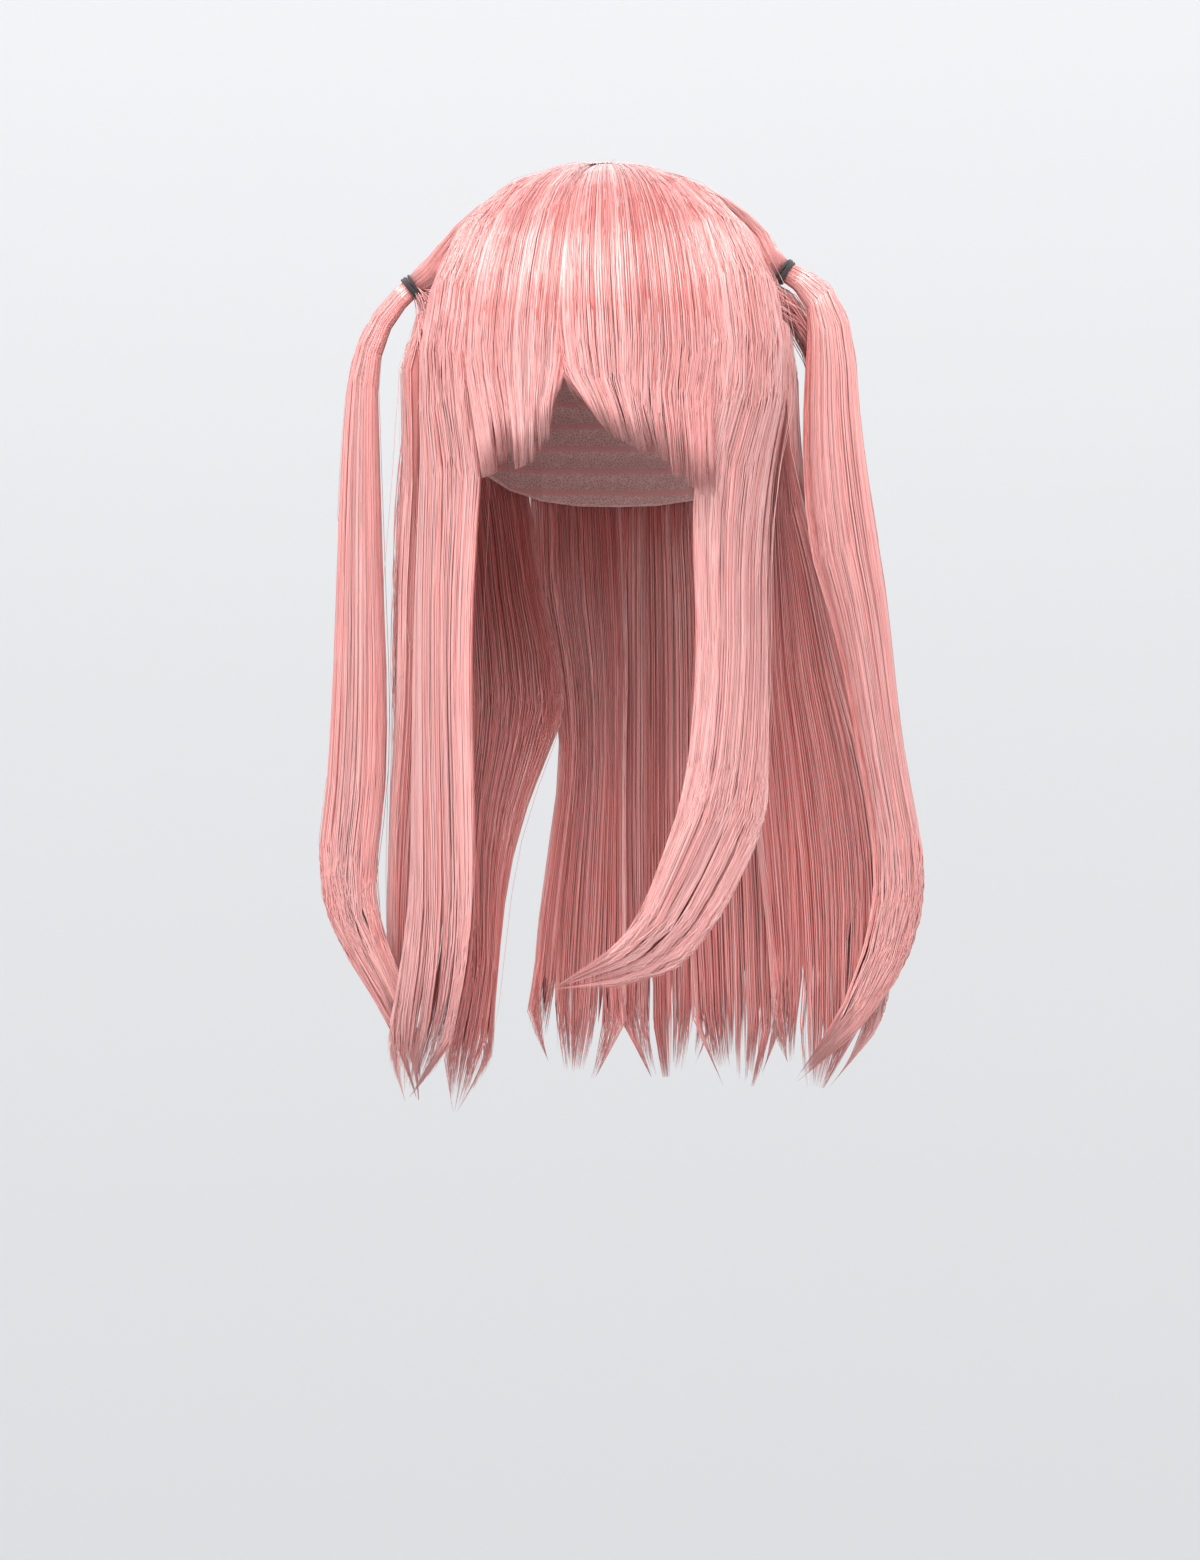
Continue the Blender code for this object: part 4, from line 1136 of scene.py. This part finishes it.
def cap_material():
    """Stretch net in small cells, with rows of sewn hair track round it."""
    material, tree, shader = new_material("cap_net_knit")
    where = node(tree, "TexCoord", {}).outputs["Object"]
    cells = node(tree, "TexVoronoi", {"Vector": where, "Scale": 650.0}, feature="DISTANCE_TO_EDGE")
    rows = {"Vector": where, "Scale": 26.0, "Distortion": 0.5, "Detail": 1.0}
    tracks = node(tree, "TexWave", rows, bands_direction="Z").outputs["Fac"]
    distance = cells.outputs["Distance"]
    track = ramp(tree, tracks, *TRACK_EDGES)
    colour = mix_colours(tree, track, ramp(tree, distance, *NET_TONES), TRACK_COLOUR)
    knit = bumps(tree, reckon(tree, "ADD", tracks, distance), 0.7, 0.0006)
    fill(tree, shader, {"Base Color": colour, "Normal": knit, "Roughness": 0.85})
    return material


def mix_colours(tree, factor, first, second):
    """A mix of two colours. Its sockets share their names, so that they are told apart by identifier."""
    mixed = tree.nodes.new("ShaderNodeMix")
    mixed.data_type = "RGBA"
    sockets = {s.identifier: s for s in mixed.inputs}
    for key, value in (("Factor_Float", factor), ("A_Color", first), ("B_Color", second)):
        if isinstance(value, bpy.types.NodeSocket):
            tree.links.new(value, sockets[key])
        else:
            sockets[key].default_value = value
    return next(s for s in mixed.outputs if s.identifier == "Result_Color")


def elastic_material():
    """Dark elastic covered with thread, whose winding shows as fine slanted ridges."""
    material, tree, shader = new_material("black_elastic_thread")
    round_tie, round_wrap, _ = strand_numbers(tree)
    turns = reckon(tree, "MULTIPLY", round_tie, THREAD_TURNS)
    slant = reckon(tree, "MULTIPLY", round_wrap, 2 * math.pi)
    ridge = reckon(tree, "SINE", reckon(tree, "ADD", turns, slant))
    looks = {
        "Base Color": ramp(tree, ridge, *THREAD_TONES),
        "Normal": bumps(tree, ridge, 0.6, 0.0002),
        "Roughness": 0.55,
        "Sheen Weight": 0.2,
    }
    fill(tree, shader, looks)
    return material


# The wraps of each tie: where each is along the bundle, its radius and how far out it lies on the others,
# in mm, and its tilt in degrees
TIE_WRAPS = ((-1.55, 0.82, 0.0, 5), (0.05, 0.92, 0.0, -6), (1.55, 0.80, 0.0, 4), (0.7, 0.60, 0.6, 17))
WRAP_SEGMENTS = 56
WRAP_SIDES = 10


def add_tie(side, sign, material):
    """An elastic wound a few times round the bundle, each turn at a slightly different slant."""
    axis = tie_axis(sign)
    across = np.array([0.0, 1.0, 0.0])
    up = np.cross(axis, across)
    round_tie = np.arange(WRAP_SEGMENTS) / WRAP_SEGMENTS * 2 * math.pi
    round_wrap = np.arange(WRAP_SIDES) / WRAP_SIDES * 2 * math.pi
    a, b = np.meshgrid(round_tie, round_wrap, indexing="ij")
    verts, strand, quads = [], [], []
    for k, (along, thick, over, tilt) in enumerate(TIE_WRAPS):
        thick = thick * 1e-3
        ray = across * np.cos(a)[..., None] + up * np.sin(a)[..., None]
        radius = BUNDLE_RADIUS + thick + over * 1e-3 + thick * np.cos(b)
        lean = math.tan(math.radians(tilt)) * BUNDLE_RADIUS * np.sin(a + k)
        forward = along * 1e-3 + lean + thick * np.sin(b)
        wrap = tie_centre(side, sign) + ray * radius[..., None] + axis * forward[..., None]
        verts.append(wrap.reshape(-1, 3))
        numbers = np.stack([a / (2 * math.pi), b / (2 * math.pi), np.full(a.shape, 0.5)], axis=-1)
        strand.append(numbers.reshape(-1, 3))
        quads.append(ring_faces(WRAP_SEGMENTS, WRAP_SIDES, closed=True) + k * WRAP_SEGMENTS * WRAP_SIDES)
    name = f"hair_tie_{side}"
    verts, quads, strand = (np.concatenate(part) for part in (verts, quads, strand))
    obj = add_mesh(f"{name}_wound", verts, quads, np.zeros((0, 3), int), strand, material)
    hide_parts(name)


def add_camera():
    turn = math.radians(CAMERA_AZIMUTH)
    camera = add_object("camera", bpy.data.cameras.new("camera"))
    camera.data.lens = CAMERA_LENS
    camera.data.sensor_width = CAMERA_SENSOR
    camera.location = (
        CAMERA_DISTANCE * math.sin(turn) - CAMERA_ASIDE * math.cos(turn),
        -CAMERA_DISTANCE * math.cos(turn) - CAMERA_ASIDE * math.sin(turn),
        CAMERA_HEIGHT,
    )
    camera.rotation_euler = (math.radians(90 - CAMERA_PITCH), 0, turn)
    bpy.context.scene.camera = camera


# The floor: flat to FLOOR_RADIUS, then a quarter round of SWEEP_RADIUS up into the wall
FLOOR_LEVEL = -1.5
FLOOR_INNER_RING = 1.2
FLOOR_RADIUS = 2.2
SWEEP_RADIUS = 1.4
WALL_TOP = 4.0
SWEEP_STEPS = 13
FLOOR_SIDES = 96

# The paper: its colour, and how much it glows at the floor and at the top of the view
PAPER_COLOUR = (0.45, 0.455, 0.462, 1)
PAPER_GLOW_COLOUR = (0.985, 0.99, 1.0, 1)
PAPER_GLOW = (0.235, 0.47)
PAPER_TOP = 0.9


def paper_material():
    """Matt paper with a faint glow that grows upwards. The glow is not sampled as a light."""
    material, tree, shader = new_material("studio_paper")
    where = node(tree, "TexCoord", {})
    level = node(tree, "SeparateXYZ", {"Vector": where.outputs["Object"]}).outputs["Z"]
    low, high = PAPER_GLOW
    span = {"From Min": FLOOR_LEVEL, "From Max": PAPER_TOP, "To Min": low, "To Max": high}
    glow = node(tree, "MapRange", {"Value": level, **span})
    looks = {
        "Base Color": PAPER_COLOUR,
        "Roughness": 0.9,
        "Specular IOR Level": 0.1,
        "Emission Color": PAPER_GLOW_COLOUR,
        "Emission Strength": glow.outputs["Result"],
    }
    fill(tree, shader, looks)
    material.cycles.emission_sampling = "NONE"
    return material


def add_stage():
    """A pale floor that sweeps up into a round wall, open at the top."""
    profile = [(FLOOR_INNER_RING, FLOOR_LEVEL)]
    for a in np.linspace(0, math.pi / 2, SWEEP_STEPS):
        level = FLOOR_LEVEL + SWEEP_RADIUS * (1 - math.cos(a))
        profile.append((FLOOR_RADIUS + SWEEP_RADIUS * math.sin(a), level))
    profile.append((FLOOR_RADIUS + SWEEP_RADIUS, WALL_TOP))
    verts = [(0.0, 0.0, FLOOR_LEVEL)]
    for radius, level in profile:
        turn = np.arange(FLOOR_SIDES) / FLOOR_SIDES * 2 * math.pi
        verts += [(radius * math.cos(a), radius * math.sin(a), level) for a in turn]
    faces = [(0, 1 + k, 1 + (k + 1) % FLOOR_SIDES) for k in range(FLOOR_SIDES)]
    faces += (1 + ring_faces(len(profile), FLOOR_SIDES)).tolist()
    mesh = bpy.data.meshes.new("floor")
    mesh.from_pydata(verts, [], faces)
    mesh.shade_smooth()
    mesh.materials.append(paper_material())
    floor = add_object("floor", mesh)


# The lights: azimuth and elevation as seen from the wig in degrees, distance, width and height in metres,
# and power in watts
LIGHTS = {
    "key_light": (4, 50, 1.9, 1.2, 1.1, 38),
    "front_light": (-18, 0, 2.6, 2.0, 2.0, 20),
    "side_light": (62, 10, 2.4, 1.2, 1.8, 4),
    "back_light": (180, 45, 2.4, 2.0, 1.8, 13),
}
LIGHT_TARGET = (0.0, 0.0, -0.2)
SKY_COLOUR = (0.95, 0.97, 1.0, 1)
SKY_STRENGTH = 0.88


def add_lights():
    for name, (azimuth, elevation, distance, width, height, power) in LIGHTS.items():
        a, e = math.radians(azimuth), math.radians(elevation)
        data = bpy.data.lights.new(name, "AREA")
        data.shape = "RECTANGLE"
        data.size, data.size_y = width, height
        data.energy = power
        light = add_object(name, data)
        light.location = (
            LIGHT_TARGET[0] + distance * math.sin(a) * math.cos(e),
            LIGHT_TARGET[1] - distance * math.cos(a) * math.cos(e),
            LIGHT_TARGET[2] + distance * math.sin(e),
        )
        light.rotation_euler = (math.radians(90) - e, 0, a)
    world = bpy.data.worlds.new("studio")
    world.use_nodes = True
    tree = world.node_tree
    fill(tree, tree.nodes["Background"], {"Color": SKY_COLOUR, "Strength": SKY_STRENGTH})
    bpy.context.scene.world = world


add_camera()
add_stage()
add_lights()
bpy.context.scene.view_settings.view_transform = "Standard"
bpy.context.scene.cycles.max_bounces = 4
bpy.context.scene.cycles.diffuse_bounces = 3
bpy.context.scene.cycles.glossy_bounces = 1

# The seeds of the random numbers: a lock's and a tie's own number is added to the first two
LOCK_SEEDS = 100
TIE_SEEDS = 200
CROWN_SEED = 300

strands_look, core_look, tie_look = fibre_material(), core_material(), elastic_material()
surfaces = {}
for lock_number, (lock_kind, lock_side) in enumerate((k, s) for k in STYLES for s in ("right", "left")):
    direction = -1 if lock_side == "right" else 1
    lock = f"{lock_kind}_{lock_side}"
    surfaces[lock] = read_surface(*lock_sections(lock_kind, lock_side, direction))
    random = np.random.default_rng(LOCK_SEEDS + lock_number)
    laid = lay_strands(lock, lock_kind, surfaces[lock], strands_look, random)
    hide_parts(lock)
    filling = add_core(lock, lock_kind, surfaces[lock], core_look, random)
for tie_side, direction in (("right", -1), ("left", 1)):
    random = np.random.default_rng(TIE_SEEDS + direction)
    add_tie(tie_side, direction, tie_look)
    add_droops(tie_side, direction, strands_look, random)
    ear_surface = surfaces[f"ear_lock_{tie_side}"]
    add_curtain(tie_side, direction, ear_surface, strands_look, random)
add_whorl(strands_look, np.random.default_rng(CROWN_SEED))
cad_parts["wig_cap"].material_slots[0].material = cap_material()
